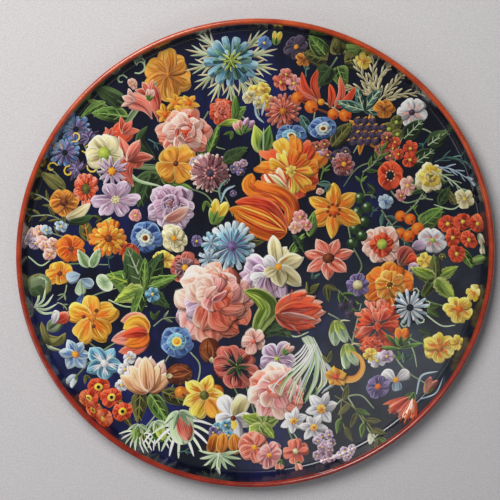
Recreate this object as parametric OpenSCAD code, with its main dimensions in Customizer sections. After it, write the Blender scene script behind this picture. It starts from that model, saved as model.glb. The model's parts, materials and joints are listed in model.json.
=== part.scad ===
// Large round painted tray: a pressed steel pan with its edge rolled over a wire,
// a filled and lacquered upper face, an enamelled bead and a hanging ring behind the lip.
// Millimetres. The underside of the pan is the plane z = 0, the tray's axis is Z,
// and +Y points to the top of the painting, where the hanging ring is.

/* [Pan] */
// Outside diameter, over the enamel on the bead
tray_d = 500; // [300:10:600]
// Height from the underside to the top of the bead
tray_h = 20; // [20:1:30]
// Thickness of the steel sheet
sheet_t = 0.9; // [0.7:0.1:1.2]
// Slope of the lip above the horizontal, in degrees
lip_angle = 70; // [60:5:80]
// Radius of the bend between the field and the lip, on its upper side
bend_r = 5; // [3:0.5:6]

/* [Rolled rim] */
// Diameter of the wire that the edge is rolled over
wire_d = 3; // [2.5:0.1:4.5]
// Clearance between the wire and the roll
wire_gap = 0.05; // [0.02:0.01:0.2]
// Gap between the two ends of the wire, where they meet
wire_end_gap = 1; // [0.5:0.5:3]
// Angle of the seam left open between the roll's edge and the back of the lip
seam_angle = 8; // [4:1:20]

/* [Coats] */
// Thickness of the filler and lacquer on the upper face
face_coat_t = 0.3; // [0.2:0.05:0.5]
// Thickness of the enamel on the bead
enamel_t = 0.15; // [0.1:0.05:0.3]
// How far the enamel runs down the inside of the lip
enamel_drop = 2; // [1:0.5:4]

/* [Hanger] */
// Diameter of the ring's wire
ring_wire_d = 2; // [1.6:0.1:2.2]
// Width of the ring, between the centres of its two sides
ring_w = 15; // [13:0.5:20]
// Radius of the ring's two upper corners, at the middle of the wire
ring_corner_r = 1.5; // [1.5:0.1:2]
// Radial clearance between the ring's wire and the strap's curl
pin_gap = 0.05; // [0.02:0.01:0.1]
// Thickness of the strap
strap_t = 0.8; // [0.5:0.1:1]
// Width of the strap
strap_w = 10; // [6:0.5:10]
// Length of the strap's leaf, which is soldered to the back of the lip
leaf_length = 8; // [5:0.5:8]
// Distance of the hinge up the lip, from the bend
hinge_up = 8.5; // [8:0.5:9]

/* [Hidden] */

$fn = 96;

roll_in = wire_d / 2 + wire_gap;
roll_out = roll_in + sheet_t;
bead_c = [tray_d / 2 - roll_out - enamel_t, tray_h - roll_out - enamel_t];

// Unit vectors in the section: up the lip, and square to it towards the middle of the tray
up_lip = [cos(lip_angle), sin(lip_angle)];
inward = [-sin(lip_angle), cos(lip_angle)];

// The lip's upper side touches both the bend and the roll
bend_z = sheet_t + bend_r;
bend_x = bead_c.x - ((bead_c.y - bend_z) * cos(lip_angle) + roll_out + bend_r) / sin(lip_angle);
bend_c = [bend_x, bend_z];
lip_foot = bend_c - bend_r * inward;
lip_length = norm(bead_c + roll_out * inward - lip_foot);
enamel_start = lip_length - enamel_drop;

// The roll's edge stops where the back of the lip would meet it, less the seam
seam_from = 90 + lip_angle;
seam_to = seam_from + acos(roll_in / roll_out) + seam_angle;

// Straight stretches of the section reach this far into the arcs that they run into,
// with a point at the middle of their thickness
key = 0.2;

// The hinge is a curl of the strap, which stands just off the back of the lip
ring_wire_r = ring_wire_d / 2;
curl_in = ring_wire_r + pin_gap;
curl_out = curl_in + strap_t;
curl_off = 0.1;
hinge = at_lip(hinge_up, -sheet_t - curl_off - curl_out);
leaf_angle = 2 * asin(strap_w / 2 / hinge.x);
bar_length = ring_w - 2 * ring_corner_r;

// A point of the section, from the foot of the lip's upper side: along it, and above it
function at_lip(along, above) = lip_foot + along * up_lip + above * inward;

// A pie slice of the section between two angles, which are under 180 degrees apart
module slice(centre, from, to, reach) {
    mid = (from + to) / 2;
    far = reach / cos((to - from) / 2);
    translate(centre)
        polygon([
            [0, 0],
            reach * [cos(from), sin(from)],
            far * [cos(mid), sin(mid)],
            reach * [cos(to), sin(to)]
        ]);
}

module ring_section(centre, inner, outer) {
    translate(centre)
        difference() {
            circle(r = outer);
            circle(r = inner);
        }
}

// The field and the bend of a layer that lies from lo to hi above the sheet's upper side
module field_section(lo, hi) {
    polygon([
        [0, sheet_t + lo],
        [bend_c.x, sheet_t + lo],
        [bend_c.x + key, sheet_t + (lo + hi) / 2],
        [bend_c.x, sheet_t + hi],
        [0, sheet_t + hi]
    ]);
    intersection() {
        ring_section(bend_c, bend_r - hi, bend_r - lo);
        slice(bend_c, -90, lip_angle - 90, 3 * bend_r);
    }
}

// A layer on the lip, between two distances up it; key_a and key_b reach past its ends
module lip_section(lo, hi, from, to, key_a, key_b) {
    polygon([
        at_lip(from, lo),
        at_lip(to, lo),
        at_lip(to + key_b, (lo + hi) / 2),
        at_lip(to, hi),
        at_lip(from, hi),
        at_lip(from - key_a, (lo + hi) / 2)
    ]);
}

// A ring round the bead's centre, open at the seam
module rolled_section(inner, outer) {
    difference() {
        ring_section(bead_c, inner, outer);
        slice(bead_c, seam_from, seam_to, 3 * roll_out);
    }
}

module tray_pan() {
    color("#17181c")
        rotate_extrude(convexity = 8)
            union() {
                field_section(-sheet_t, 0);
                lip_section(-sheet_t, 0, 0, lip_length, key, key);
                rolled_section(roll_in, roll_out);
            }
}

module rim_wire() {
    end_angle = wire_end_gap / (2 * PI * bead_c.x) * 360;
    color("#8c8f94")
        rotate_extrude(angle = 360 - end_angle)
            translate(bead_c)
                circle(d = wire_d);
}

module face_coat() {
    color("#0c1024")
        rotate_extrude(convexity = 4)
            union() {
                field_section(0, face_coat_t);
                lip_section(0, face_coat_t, 0, enamel_start, key, 0);
            }
}

module rim_enamel() {
    color("#b8452a")
        rotate_extrude(convexity = 4)
            union() {
                lip_section(0, enamel_t, enamel_start, lip_length, 0, key / 2);
                rolled_section(roll_out, roll_out + enamel_t);
            }
}

// Places a shape that is drawn in the ring's own plane, x across and y up, on the hinge
module on_hinge() {
    translate([0, hinge.x, hinge.y])
        rotate([90, 0, 0])
            children();
}

// A length of rod along X, centred on the hinge
module hinge_rod(radius, length) {
    translate([-length / 2, hinge.x, hinge.y])
        rotate([0, 90, 0])
            cylinder(r = radius, h = length);
}

module hanger_strap() {
    color("#5b5e63")
        difference() {
            union() {
                rotate([0, 0, 90 - leaf_angle / 2])
                    rotate_extrude(angle = leaf_angle)
                        polygon([
                            at_lip(hinge_up - leaf_length, -sheet_t),
                            at_lip(hinge_up, -sheet_t),
                            at_lip(hinge_up, -sheet_t - strap_t),
                            at_lip(hinge_up - leaf_length, -sheet_t - strap_t)
                        ]);
                hinge_rod(curl_out, strap_w);
            }
            hinge_rod(curl_in, strap_w + 2);
        }
}

// A bend of the ring's wire, from angle a through sweep, about a centre in the ring's plane
module wire_bend(centre, radius, a, sweep) {
    on_hinge()
        translate(centre)
            rotate([0, 0, a])
                rotate_extrude(angle = sweep)
                    translate([radius, 0])
                        circle(r = ring_wire_r);
}

module hanging_ring() {
    color("#8c8f94")
        union() {
            hinge_rod(ring_wire_r, bar_length);
            for (side = [0, 1])
                wire_bend([(side - 0.5) * bar_length, -ring_corner_r], ring_corner_r, 90 * (1 - side), 90);
            wire_bend([0, -ring_corner_r], ring_w / 2, 180, 180);
        }
}

tray_pan();
rim_wire();
face_coat();
rim_enamel();
hanger_strap();
hanging_ring();
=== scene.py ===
"""A large round painted tray: lacquered field, folk-style flowers in oil paint, enamelled rolled rim."""

import json
import math
import random

import bpy
import numpy as np
from mathutils import Matrix, Vector


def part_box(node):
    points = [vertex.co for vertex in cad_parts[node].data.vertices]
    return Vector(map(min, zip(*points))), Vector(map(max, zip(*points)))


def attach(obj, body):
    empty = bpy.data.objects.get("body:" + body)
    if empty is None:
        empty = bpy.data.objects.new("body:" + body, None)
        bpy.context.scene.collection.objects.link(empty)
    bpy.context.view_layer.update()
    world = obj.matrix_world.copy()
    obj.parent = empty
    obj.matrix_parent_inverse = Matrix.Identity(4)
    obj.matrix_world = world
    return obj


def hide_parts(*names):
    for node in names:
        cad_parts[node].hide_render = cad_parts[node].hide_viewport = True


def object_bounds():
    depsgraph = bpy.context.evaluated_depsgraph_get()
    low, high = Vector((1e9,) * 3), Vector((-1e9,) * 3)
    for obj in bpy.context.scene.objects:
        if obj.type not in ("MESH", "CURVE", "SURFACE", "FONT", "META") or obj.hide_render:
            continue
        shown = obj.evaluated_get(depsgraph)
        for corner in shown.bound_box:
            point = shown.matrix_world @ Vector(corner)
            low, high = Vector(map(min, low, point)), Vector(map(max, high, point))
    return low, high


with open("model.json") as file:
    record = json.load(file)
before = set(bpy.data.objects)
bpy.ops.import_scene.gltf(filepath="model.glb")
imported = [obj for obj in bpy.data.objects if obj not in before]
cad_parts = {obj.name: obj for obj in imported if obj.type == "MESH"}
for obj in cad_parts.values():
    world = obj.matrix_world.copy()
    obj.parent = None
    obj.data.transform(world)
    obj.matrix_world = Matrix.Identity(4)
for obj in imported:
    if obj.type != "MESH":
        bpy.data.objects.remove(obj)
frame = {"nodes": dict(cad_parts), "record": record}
cad_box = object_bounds()
rng = random.Random(1825)  # every motif draws from this in turn, so the order of the pieces matters

# ---------------------------------------------------------------------------------------------
# Places and sizes, in metres, from the frame
# ---------------------------------------------------------------------------------------------
rim_low, rim_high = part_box("rim_enamel")
TRAY_R = (rim_high.x - rim_low.x) / 2
RIM_Z = rim_high.z
MOUNTS = {m["name"]: m for m in frame["record"]["mounts"]}
FACE_Z = MOUNTS["serving_face"]["pos_m"][2]
FIELD_R = 0.23529  # where the flat field ends and the bend begins
BEAD_R = 0.0026  # the rolled edge, over its enamel
BEAD_AT = (TRAY_R - BEAD_R, RIM_Z - BEAD_R)
ENAMEL_T = 0.00015
ENAMEL_DOWN = 0.0017  # how far the enamel runs down the inside of the lip
SHEET = 0.0009  # the pan's steel
SHEET_BEND_R = 0.005  # inside of its bend
SHEET_ROLL_R = 0.00245  # outside of its rolled edge
LACQUER_T = 0.00028
LIP_ANGLE = math.radians(70)
LIP_WAY = np.array([math.cos(LIP_ANGLE), math.sin(LIP_ANGLE)])
LIP_IN = np.array([-LIP_WAY[1], LIP_WAY[0]])
BEND_AT = np.array([FIELD_R, 0.0059])  # centre of the bend, in the section
BEND_R = 0.0047  # from there to the lacquer's face
LIP_FOOT = BEND_AT - BEND_R * LIP_IN
LIP_LONG = 0.01495
LACQUER_LONG = LIP_LONG - 0.0020  # the lacquer stops short of the bead

# The painting's middle, in shares of the tray's radius, and its size beside the tray
PAINT_AT = (0.0035, -0.0134)
PAINT_SIZE = 1.007

# Oil paint lies in coats on the face: each patch sits one coat above the highest under it
COAT = 0.00001  # gap from the paint below
CROWN = 0.000012  # rise of a patch in its middle
SUNK = 0.00002  # how deep a patch's foot stands in the lacquer
CELL = 0.0009  # side of a cell of the height map
TINY = 1e-9

# How fast the brush's streaks run along and across a petal, and how far apart two petals' streaks are
STREAK_ALONG = 8
STREAK_ACROSS = 52
STREAK_SHIFT = 50
CREASE_IN_PAINT = math.radians(25)
CREASE_IN_SHEET = math.radians(35)


# ---------------------------------------------------------------------------------------------
# Colours: each scheme is shadow, body, light and edge, as sRGB
# ---------------------------------------------------------------------------------------------
SCHEMES = {
    "orange": ("#b52e04", "#e65f0a", "#f4841a", "#fbb050"),
    "gold": ("#c65f06", "#ea9412", "#f7b727", "#fbdc78"),
    "yellow": ("#b8780c", "#efc21c", "#fbe04c", "#fff6b0"),
    "cream": ("#86783e", "#d8c688", "#f2e6b8", "#fffbe4"),
    "white": ("#8c8796", "#cdc8c8", "#f0ece6", "#ffffff"),
    "blush": ("#b85c50", "#e49a88", "#f8ccb6", "#fff2e6"),
    "pink": ("#a03440", "#dc7270", "#f2a89c", "#ffe2d8"),
    "salmon": ("#9a2820", "#e05a40", "#f28c70", "#ffd4c0"),
    "coral": ("#9a1c10", "#de4226", "#f2704e", "#fcc0a4"),
    "red": ("#820c06", "#d22a0c", "#f04c22", "#fb8e5e"),
    "darkred": ("#40080c", "#92221e", "#c0433a", "#eaa48e"),
    "burgundy": ("#2c0c16", "#641e2e", "#8e3e4c", "#e4c2c0"),
    "lilac": ("#6a4266", "#aa86a8", "#d6b8d0", "#fbf0f6"),
    "mauve": ("#582e50", "#9e6c8e", "#cc9eb8", "#f6deea"),
    "violet": ("#2f2148", "#553f78", "#7d68a0", "#b8aacc"),
    "purple": ("#18121f", "#30243a", "#4c3c54", "#80708a"),
    "sky": ("#1e5274", "#4288a8", "#74b2c8", "#c4e6ec"),
    "blue": ("#12215a", "#244890", "#4878bc", "#a2c4e6"),
    "ice": ("#587290", "#8ea9be", "#b8cdd8", "#e6f1f3"),
    "green": ("#122808", "#33601c", "#5e8c30", "#aacb6c"),
    "dark": ("#0a170b", "#1a3316", "#314e20", "#64804a"),
    "olive": ("#20240e", "#454919", "#6e6e2a", "#a09a58"),
    "lime": ("#4f6c10", "#9ab224", "#ccd84a", "#f2f4a0"),
    "teal": ("#0f2a28", "#204c46", "#42786c", "#90bcac"),
    "mint": ("#66885a", "#a2c08c", "#cfe1ba", "#f5fae4"),
    "brown": ("#260b05", "#5a1f0a", "#8a3c14", "#c07a4c"),
    "amber": ("#843804", "#c2620a", "#e48a1a", "#f6bf64"),
    "marigold": ("#9c4604", "#d47a0e", "#eea022", "#fad07c"),
    "peach": ("#b46630", "#eaa26c", "#fccc9c", "#fff0d8"),
    "stem": ("#25381c", "#5c7444", "#93a878", "#cfd8b8"),
    "straw": ("#8c7c48", "#c8b880", "#e8dcb0", "#fbf6dc"),
    "ink": ("#05070c", "#0b0f18", "#131a26", "#273244"),
}


def linear(hexcode):
    """An sRGB hex code as linear red, green and blue."""
    srgb = np.array([int(hexcode[i:i + 2], 16) / 255 for i in (1, 3, 5)])
    return np.where(srgb <= 0.04045, srgb / 12.92, ((srgb + 0.055) / 1.055) ** 2.4)


COLOURS = {name: np.array([linear(c) for c in codes]) for name, codes in SCHEMES.items()}


def mix(a, b, share):
    return a + (b - a) * share


def smooth(low, high, value):
    """0 below low, 1 above high, and an even curve between them."""
    t = np.clip((value - low) / (high - low), 0, 1)
    return t * t * (3 - 2 * t)


# ---------------------------------------------------------------------------------------------
# Patches: a patch is a grid of points on the face, with colours, that becomes a closed slab of paint
# ---------------------------------------------------------------------------------------------
SIDE = int(2 * TRAY_R / CELL) + 8
heights = np.zeros((SIDE, SIDE))
LIGHT_DIR = np.array([-0.6, 0.8])  # the way to the light that the strokes are painted for
LOW_LEFT_LIGHTER = 0.20  # how much lighter the colours get per radius, towards the lower left
LIGHT_SIDE = [1.0]  # its sign says which side of the petal being painted faces the light

# Power of the distance from the base, and from the tip, that a petal's width follows
OUTLINES = {
    "round": (0.85, 0.40),
    "wide": (0.62, 0.34),
    "oval": (0.50, 0.50),
    "point": (0.75, 0.85),
    "leaf": (0.60, 0.95),
    "heart": (0.30, 0.90),
    "strap": (0.34, 0.42),
    "flame": (0.62, 0.72),
    "drop": (1.15, 0.50),
    "fan": (1.15, 0.26),
}


def grid(n, m):
    """Square grid of (n + 1) by (m + 1) points from -1 to 1."""
    return np.meshgrid(np.linspace(-1, 1, n + 1), np.linspace(-1, 1, m + 1), indexing="ij")


def raise_to_level(x, y):
    """The level one coat above everything under these points, which it then fills."""
    i = np.clip(np.rint(x / CELL).astype(int) + SIDE // 2, 0, SIDE - 1)
    j = np.clip(np.rint(y / CELL).astype(int) + SIDE // 2, 0, SIDE - 1)
    level = heights[i, j].max() + COAT
    heights[i, j] = level + CROWN
    return level


def lay(x, y, lift):
    """Wraps the flat painting onto the face: past the field it runs round the bend and up the lip."""
    dist = np.maximum(np.hypot(x, y), TINY)
    past = np.clip(dist - FIELD_R, 0, BEND_R * LIP_ANGLE + LACQUER_LONG)
    turn = np.minimum(past / BEND_R, LIP_ANGLE)
    up = np.maximum(past - BEND_R * LIP_ANGLE, 0)
    flat = np.minimum(dist, FIELD_R)
    r = flat + (BEND_R - lift) * np.sin(turn) + up * LIP_WAY[0]
    z = FACE_Z + BEND_R - (BEND_R - lift) * np.cos(turn) + up * LIP_WAY[1]
    return np.stack([x / dist * r, y / dist * r, z], axis=-1)


def patch(place, paint, n, m, reach):
    """place(u, v) gives x, y; paint(u, v) gives two colours and the way the brush went."""
    fine = max(3, int(reach / CELL) + 2)
    su, sv = grid(max(fine, n), max(3, min(fine, int(fine * m / n) + 2)))
    sx, sy = place(su, sv)
    level = raise_to_level(to_face(sx, 0), to_face(sy, 1))
    u, v = grid(n, m)
    x, y = place(u, v)
    dome = CROWN * (1 - u ** 2) * (1 - v ** 2)
    co = np.stack([to_face(x, 0), to_face(y, 1), level + dome], axis=-1)
    body, streak, brush = paint(u, v)
    lighter = 1 - LOW_LEFT_LIGHTER * (0.5 * x.mean() + y.mean())
    return co, np.clip(body * lighter, 0, 1), np.clip(streak * lighter, 0, 1), brush


def to_face(share, axis):
    """Turns a place in the painting, in shares of the tray's radius, into metres on the face."""
    return (share + PAINT_AT[axis]) * PAINT_SIZE * TRAY_R


def disc_of(u, v):
    """Square to disc, so that a round patch has an even grid."""
    return u * np.sqrt(1 - v * v / 2), v * np.sqrt(1 - u * u / 2)


def width_of(t, outline):
    """How wide a petal is at t, from its base at 0 to its tip at 1, beside its widest place."""
    a, b = OUTLINES[outline]
    peak = a / (a + b)
    t = np.clip(t, 1e-6, 1 - 1e-6)
    return (t / peak) ** a * ((1 - t) / (1 - peak)) ** b


def shades(scheme, t, s, rad, lit, edge, tone, split):
    """Colours along a petal: shadow at its base and fold, body, light, and a bright or a dark edge."""
    shadow, body, light, rim = COLOURS[scheme]
    dusk = smooth(0.75, 1.0, rad) * smooth(-0.1, -0.5, lit) * 0.8
    low = smooth(0.04, tone + 0.18, t)[..., None]
    high = smooth(tone + 0.1, 1.05, t)[..., None]
    base = mix(mix(shadow, body, low), light, high)
    fold = np.exp(-(s / 0.15) ** 2) * smooth(0.05, 0.3, t) * (1 - smooth(0.5, 0.9, t))
    base = mix(base, shadow, (0.6 * fold)[..., None])
    base = mix(base, shadow, (split * smooth(0.1, -0.15, s * np.sign(LIGHT_SIDE[0])))[..., None])
    base = base * (1 + 0.34 * np.clip(lit, -1, 1))[..., None]
    outline = smooth(0.76, 0.98, rad)
    base = mix(base, rim, (outline * smooth(-0.35, 0.3, lit) * edge)[..., None])
    base = mix(base, shadow * 0.4, dusk[..., None])
    pale = base.mean(axis=-1, keepdims=True)
    streak = mix(base, rim, 0.22) * (1.26 - 0.2 * pale)
    return np.clip(base * (0.45 + 0.45 * pale), 0, 1), np.clip(streak, 0, 1)


def petal(x, y, ang, length, width, scheme, outline="round", bend=0.0, notch=0.0, frill=0.0,
          teeth=0, lean=0.0, squash=1.0, edge=0.6, tone=0.5, n=8, split=0.0):
    """One petal. x, y is the flower's centre, in shares of the tray's radius; ang is in degrees.

    bend curves it sideways, notch, frill and teeth shape its edge, and squash flattens it along lean, for a
    tilted flower. edge and split are how strong its light edge and its dark half are, tone where it lightens.
    """
    a = math.radians(ang)
    way = np.array([math.cos(a), math.sin(a)])
    side = np.array([-way[1], way[0]])
    q = math.radians(lean)
    axis = np.array([math.cos(q), math.sin(q)])
    seed = rng.random()
    phase = seed * 6.28
    bright = 1 + rng.uniform(-0.10, 0.10) + 0.13 * float(way @ LIGHT_DIR)
    width *= rng.uniform(0.9, 1.1)

    def parts(u, v):
        px, py = disc_of(u, v)
        t = (px + 1) / 2
        s = np.clip(py / np.sqrt(np.maximum(1 - px * px, TINY)), -1, 1)
        return px, py, t, s

    def place(u, v):
        px, py, t, s = parts(u, v)
        half = width / 2 * width_of(t, outline)
        if teeth:
            half = half * (0.88 + 0.42 * (1 - t * teeth % 1) * (1 - t))
        half = half * (1 + 0.07 * np.sin(t * 8 + phase * 3))
        far = t ** 3
        out = t - notch * far * np.exp(-(s / 0.4) ** 2) + frill * far * np.sin(s * 8 + phase)
        along = length * out
        across = half * s + bend * length * t * t
        dx = along * way[0] + across * side[0]
        dy = along * way[1] + across * side[1]
        down = (dx * axis[0] + dy * axis[1]) * (squash - 1)
        return x + dx + down * axis[0], y + dy + down * axis[1]

    def paint(u, v):
        px, py, t, s = parts(u, v)
        lit = s * (side @ LIGHT_DIR) + (2 * t - 1) * 0.5 * (way @ LIGHT_DIR)
        LIGHT_SIDE[0] = side @ LIGHT_DIR
        body, streak = shades(scheme, t, s, np.hypot(px, py), lit, edge, tone, split)
        brush = np.stack(
            [t * length * STREAK_ALONG, s * width * STREAK_ACROSS, np.full_like(t, seed * STREAK_SHIFT)],
            axis=-1)
        return np.clip(body * bright, 0, 1), np.clip(streak * bright, 0, 1), brush

    return [patch(place, paint, n, n, max(length, width) * TRAY_R)]


def spot(x, y, r, scheme, squash=1.0, lean=0.0, n=5, hollow=False, lobes=0, lobe=0.0):
    """A round dab, lit like a bead, or hollow: dark in the middle and light at its edge."""
    q = math.radians(lean)
    axis = np.array([math.cos(q), math.sin(q)])
    seed = rng.random()
    shadow, body, light, rim = COLOURS[scheme]

    def place(u, v):
        px, py = disc_of(u, v)
        if lobes:
            grow = 1 + lobe * np.cos(lobes * np.arctan2(py, px)) * np.hypot(px, py) ** 2
            px, py = px * grow, py * grow
        down = (px * axis[0] + py * axis[1]) * (squash - 1)
        return x + r * (px + down * axis[0]), y + r * (py + down * axis[1])

    def paint(u, v):
        px, py = disc_of(u, v)
        rad = np.hypot(px, py)
        if hollow:
            base = mix(mix(shadow, body, smooth(0.1, 0.55, rad)[..., None]),
                       light, smooth(0.55, 0.8, rad)[..., None])
            base = mix(base, rim, smooth(0.85, 1.0, rad)[..., None] * 0.7)
        else:
            gleam = np.hypot(px + 0.3, py - 0.35)
            base = mix(light, body, smooth(0.2, 0.8, gleam)[..., None])
            base = mix(base, shadow, smooth(0.7, 1.35, gleam)[..., None])
            base = mix(base, rim, (1 - smooth(0.0, 0.3, gleam))[..., None])
        brush = np.stack([rad * r * 10, np.arctan2(py, px) * 1.4, np.full_like(rad, seed * STREAK_SHIFT)],
            axis=-1)
        return base * 0.88, mix(base, rim, 0.22), brush

    return [patch(place, paint, n, n, 2 * r * TRAY_R)]


def curve_through(points, count):
    """A smooth curve through the points, Catmull-Rom, as count + 1 points."""
    p = np.array(points, float)
    p = np.vstack([2 * p[0] - p[1], p, 2 * p[-1] - p[-2]])
    at = np.linspace(0, len(points) - 1 - TINY, count + 1)
    k = at.astype(int)
    f = (at - k)[:, None]
    a, b, c, d = p[k], p[k + 1], p[k + 2], p[k + 3]
    return 0.5 * (
        2 * b + (c - a) * f + (2 * a - 5 * b + 4 * c - d) * f ** 2 + (3 * b - a - 3 * c + d) * f ** 3)


def course(points, count):
    """Points along a smooth curve, and the unit way it runs at each."""
    line = curve_through(points, count)
    way = np.gradient(line, axis=0)
    return line, way / np.maximum(np.linalg.norm(way, axis=1), TINY)[:, None]


def length_of(points):
    return np.linalg.norm(np.diff(np.array(points, float), axis=0), axis=1).sum()


def stroke(points, width, scheme, taper=(0.5, 0.15), bow=1.0, level=1):
    """A brush stroke along points. taper is its width at each end; level picks its colour, 0 dark to 3."""
    steps = length_of(points)
    count = max(4, min(26, int(steps / 0.012)))
    seed = rng.random()
    tones = COLOURS[scheme]
    shadow, body = tones[0], tones[level]
    light, rim = tones[min(level + 1, 3)], tones[min(level + 2, 3)]

    def place(u, v):
        t = (u + 1) / 2
        line, way = course(points, u.shape[0] - 1)
        end = taper[0] + (taper[1] - taper[0]) * t
        swell = end + (1 - end) * np.sin(np.pi * t) ** 0.7 * bow
        half = width / 2 * np.maximum(swell, 0.06)
        return line[:, :1] - way[:, 1:] * half * v, line[:, 1:] + way[:, :1] * half * v

    def paint(u, v):
        t = (u + 1) / 2
        base = mix(body, light, smooth(-0.5, 0.9, v)[..., None])
        base = mix(base, shadow, smooth(0.75, 1.0, np.abs(v))[..., None] * 0.35)
        brush = np.stack([t * steps * 5, v * width * 30, np.full_like(t, seed * STREAK_SHIFT)], axis=-1)
        return base * 0.9, mix(base, rim, 0.4), brush

    return [patch(place, paint, count, 2, steps * TRAY_R)]


def swath(points, width, scheme, outline="flame", edge=0.9, tone=0.5, n=8, split=0.0):
    """A long petal or leaf that follows a curve through the points."""
    steps = length_of(points)
    seed = rng.random()

    def place(u, v):
        line, way = course(points, u.shape[0] - 1)
        half = width / 2 * np.maximum(width_of((u + 1) / 2, outline), 0.05)
        return line[:, :1] - way[:, 1:] * half * v, line[:, 1:] + way[:, :1] * half * v

    def paint(u, v):
        line, way = course(points, u.shape[0] - 1)
        side_light = way[:, :1] * LIGHT_DIR[1] - way[:, 1:] * LIGHT_DIR[0]
        t = (u + 1) / 2
        LIGHT_SIDE[0] = side_light.mean()
        body, streak = shades(scheme, t, v, np.maximum(np.abs(v), np.abs(u) ** 6), v * side_light, edge,
            tone, split)
        brush = np.stack(
            [t * steps * STREAK_ALONG, v * width * STREAK_ACROSS, np.full_like(t, seed * STREAK_SHIFT)],
            axis=-1)
        return body, streak, brush

    return [patch(place, paint, max(8, int(steps / 0.014)), n, steps * TRAY_R)]


def grid_faces(n, m):
    """Faces of a patch: its top, its skirt down to the face, and one face below. loop is the top's edge."""
    index = np.arange((n + 1) * (m + 1)).reshape(n + 1, m + 1)
    top = np.stack([index[:-1, :-1], index[1:, :-1], index[1:, 1:], index[:-1, 1:]], axis=-1).reshape(-1, 4)
    loop = np.concatenate([index[:-1, 0], index[-1, :-1], index[:0:-1, -1], index[0, :0:-1]])
    low = (n + 1) * (m + 1) + np.arange(len(loop))
    skirt = np.stack([loop, low, np.roll(low, -1), np.roll(loop, -1)], axis=-1)
    return top, skirt, low[::-1], loop


def oriented(x, y, top):
    """Is the top's first way round anticlockwise seen from above?"""
    a, b, c = top[len(top) // 2][:3]
    return (x[b] - x[a]) * (y[c] - y[a]) - (y[b] - y[a]) * (x[c] - x[a]) > 0


def in_scene(name, data):
    """A new object with that data, linked into the scene."""
    thing = bpy.data.objects.new(name, data)
    bpy.context.scene.collection.objects.link(thing)
    return thing


def on_tray(name, mesh, material):
    """Puts a mesh into the scene as a piece that rides on the tray."""
    mesh.materials.append(material)
    thing = in_scene(name, mesh)
    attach(thing, "tray")
    return thing


def piece(name, *groups):
    """Joins patches into one named piece of paint on the face. Each group is a list of patches."""
    coords, bodies, streaks, brushes, loops, sizes = [], [], [], [], [], []
    count = 0
    for co, body, streak, brush in [p for group in groups for p in group]:
        n, m = co.shape[0] - 1, co.shape[1] - 1
        top, skirt, under, loop = grid_faces(n, m)
        bare = co.reshape(-1, 3)
        flat = lay(bare[:, 0], bare[:, 1], bare[:, 2])
        foot = lay(bare[loop, 0], bare[loop, 1], -SUNK)
        if not oriented(flat[:, 0], flat[:, 1], top):
            top, skirt, under = top[:, ::-1], skirt[:, ::-1], under[::-1]
        coords += [flat, foot]
        for store, values in ((bodies, body), (streaks, streak), (brushes, brush)):
            values = np.broadcast_to(values, co.shape).reshape(-1, 3)
            store += [values, values[loop]]
        loops += [(top + count).ravel(), (skirt + count).ravel(), under + count]
        sizes += [4] * (len(top) + len(skirt)) + [len(under)]
        count += len(flat) + len(foot)
    mesh = bpy.data.meshes.new(name)
    coords = np.concatenate(coords)
    corner = np.concatenate(loops)
    mesh.vertices.add(len(coords))
    mesh.vertices.foreach_set("co", coords.ravel())
    mesh.loops.add(len(corner))
    mesh.loops.foreach_set("vertex_index", corner.astype(np.int32))
    mesh.polygons.add(len(sizes))
    starts = np.concatenate([[0], np.cumsum(sizes)[:-1]])
    mesh.polygons.foreach_set("loop_start", starts.astype(np.int32))
    mesh.update(calc_edges=True)
    for label, store in (("body", bodies), ("streak", streaks)):
        layer = mesh.attributes.new(label, "FLOAT_COLOR", "POINT")
        rgba = np.concatenate([np.concatenate(store), np.ones((count, 1))], axis=1)
        layer.data.foreach_set("color", rgba.ravel())
    layer = mesh.attributes.new("brush", "FLOAT_VECTOR", "POINT")
    layer.data.foreach_set("vector", np.concatenate(brushes).ravel())
    mesh.polygons.foreach_set("use_smooth", [True] * len(sizes))
    mesh.set_sharp_from_angle(angle=CREASE_IN_PAINT)
    mesh.validate()
    return on_tray(name, mesh, oil_paint)


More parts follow.
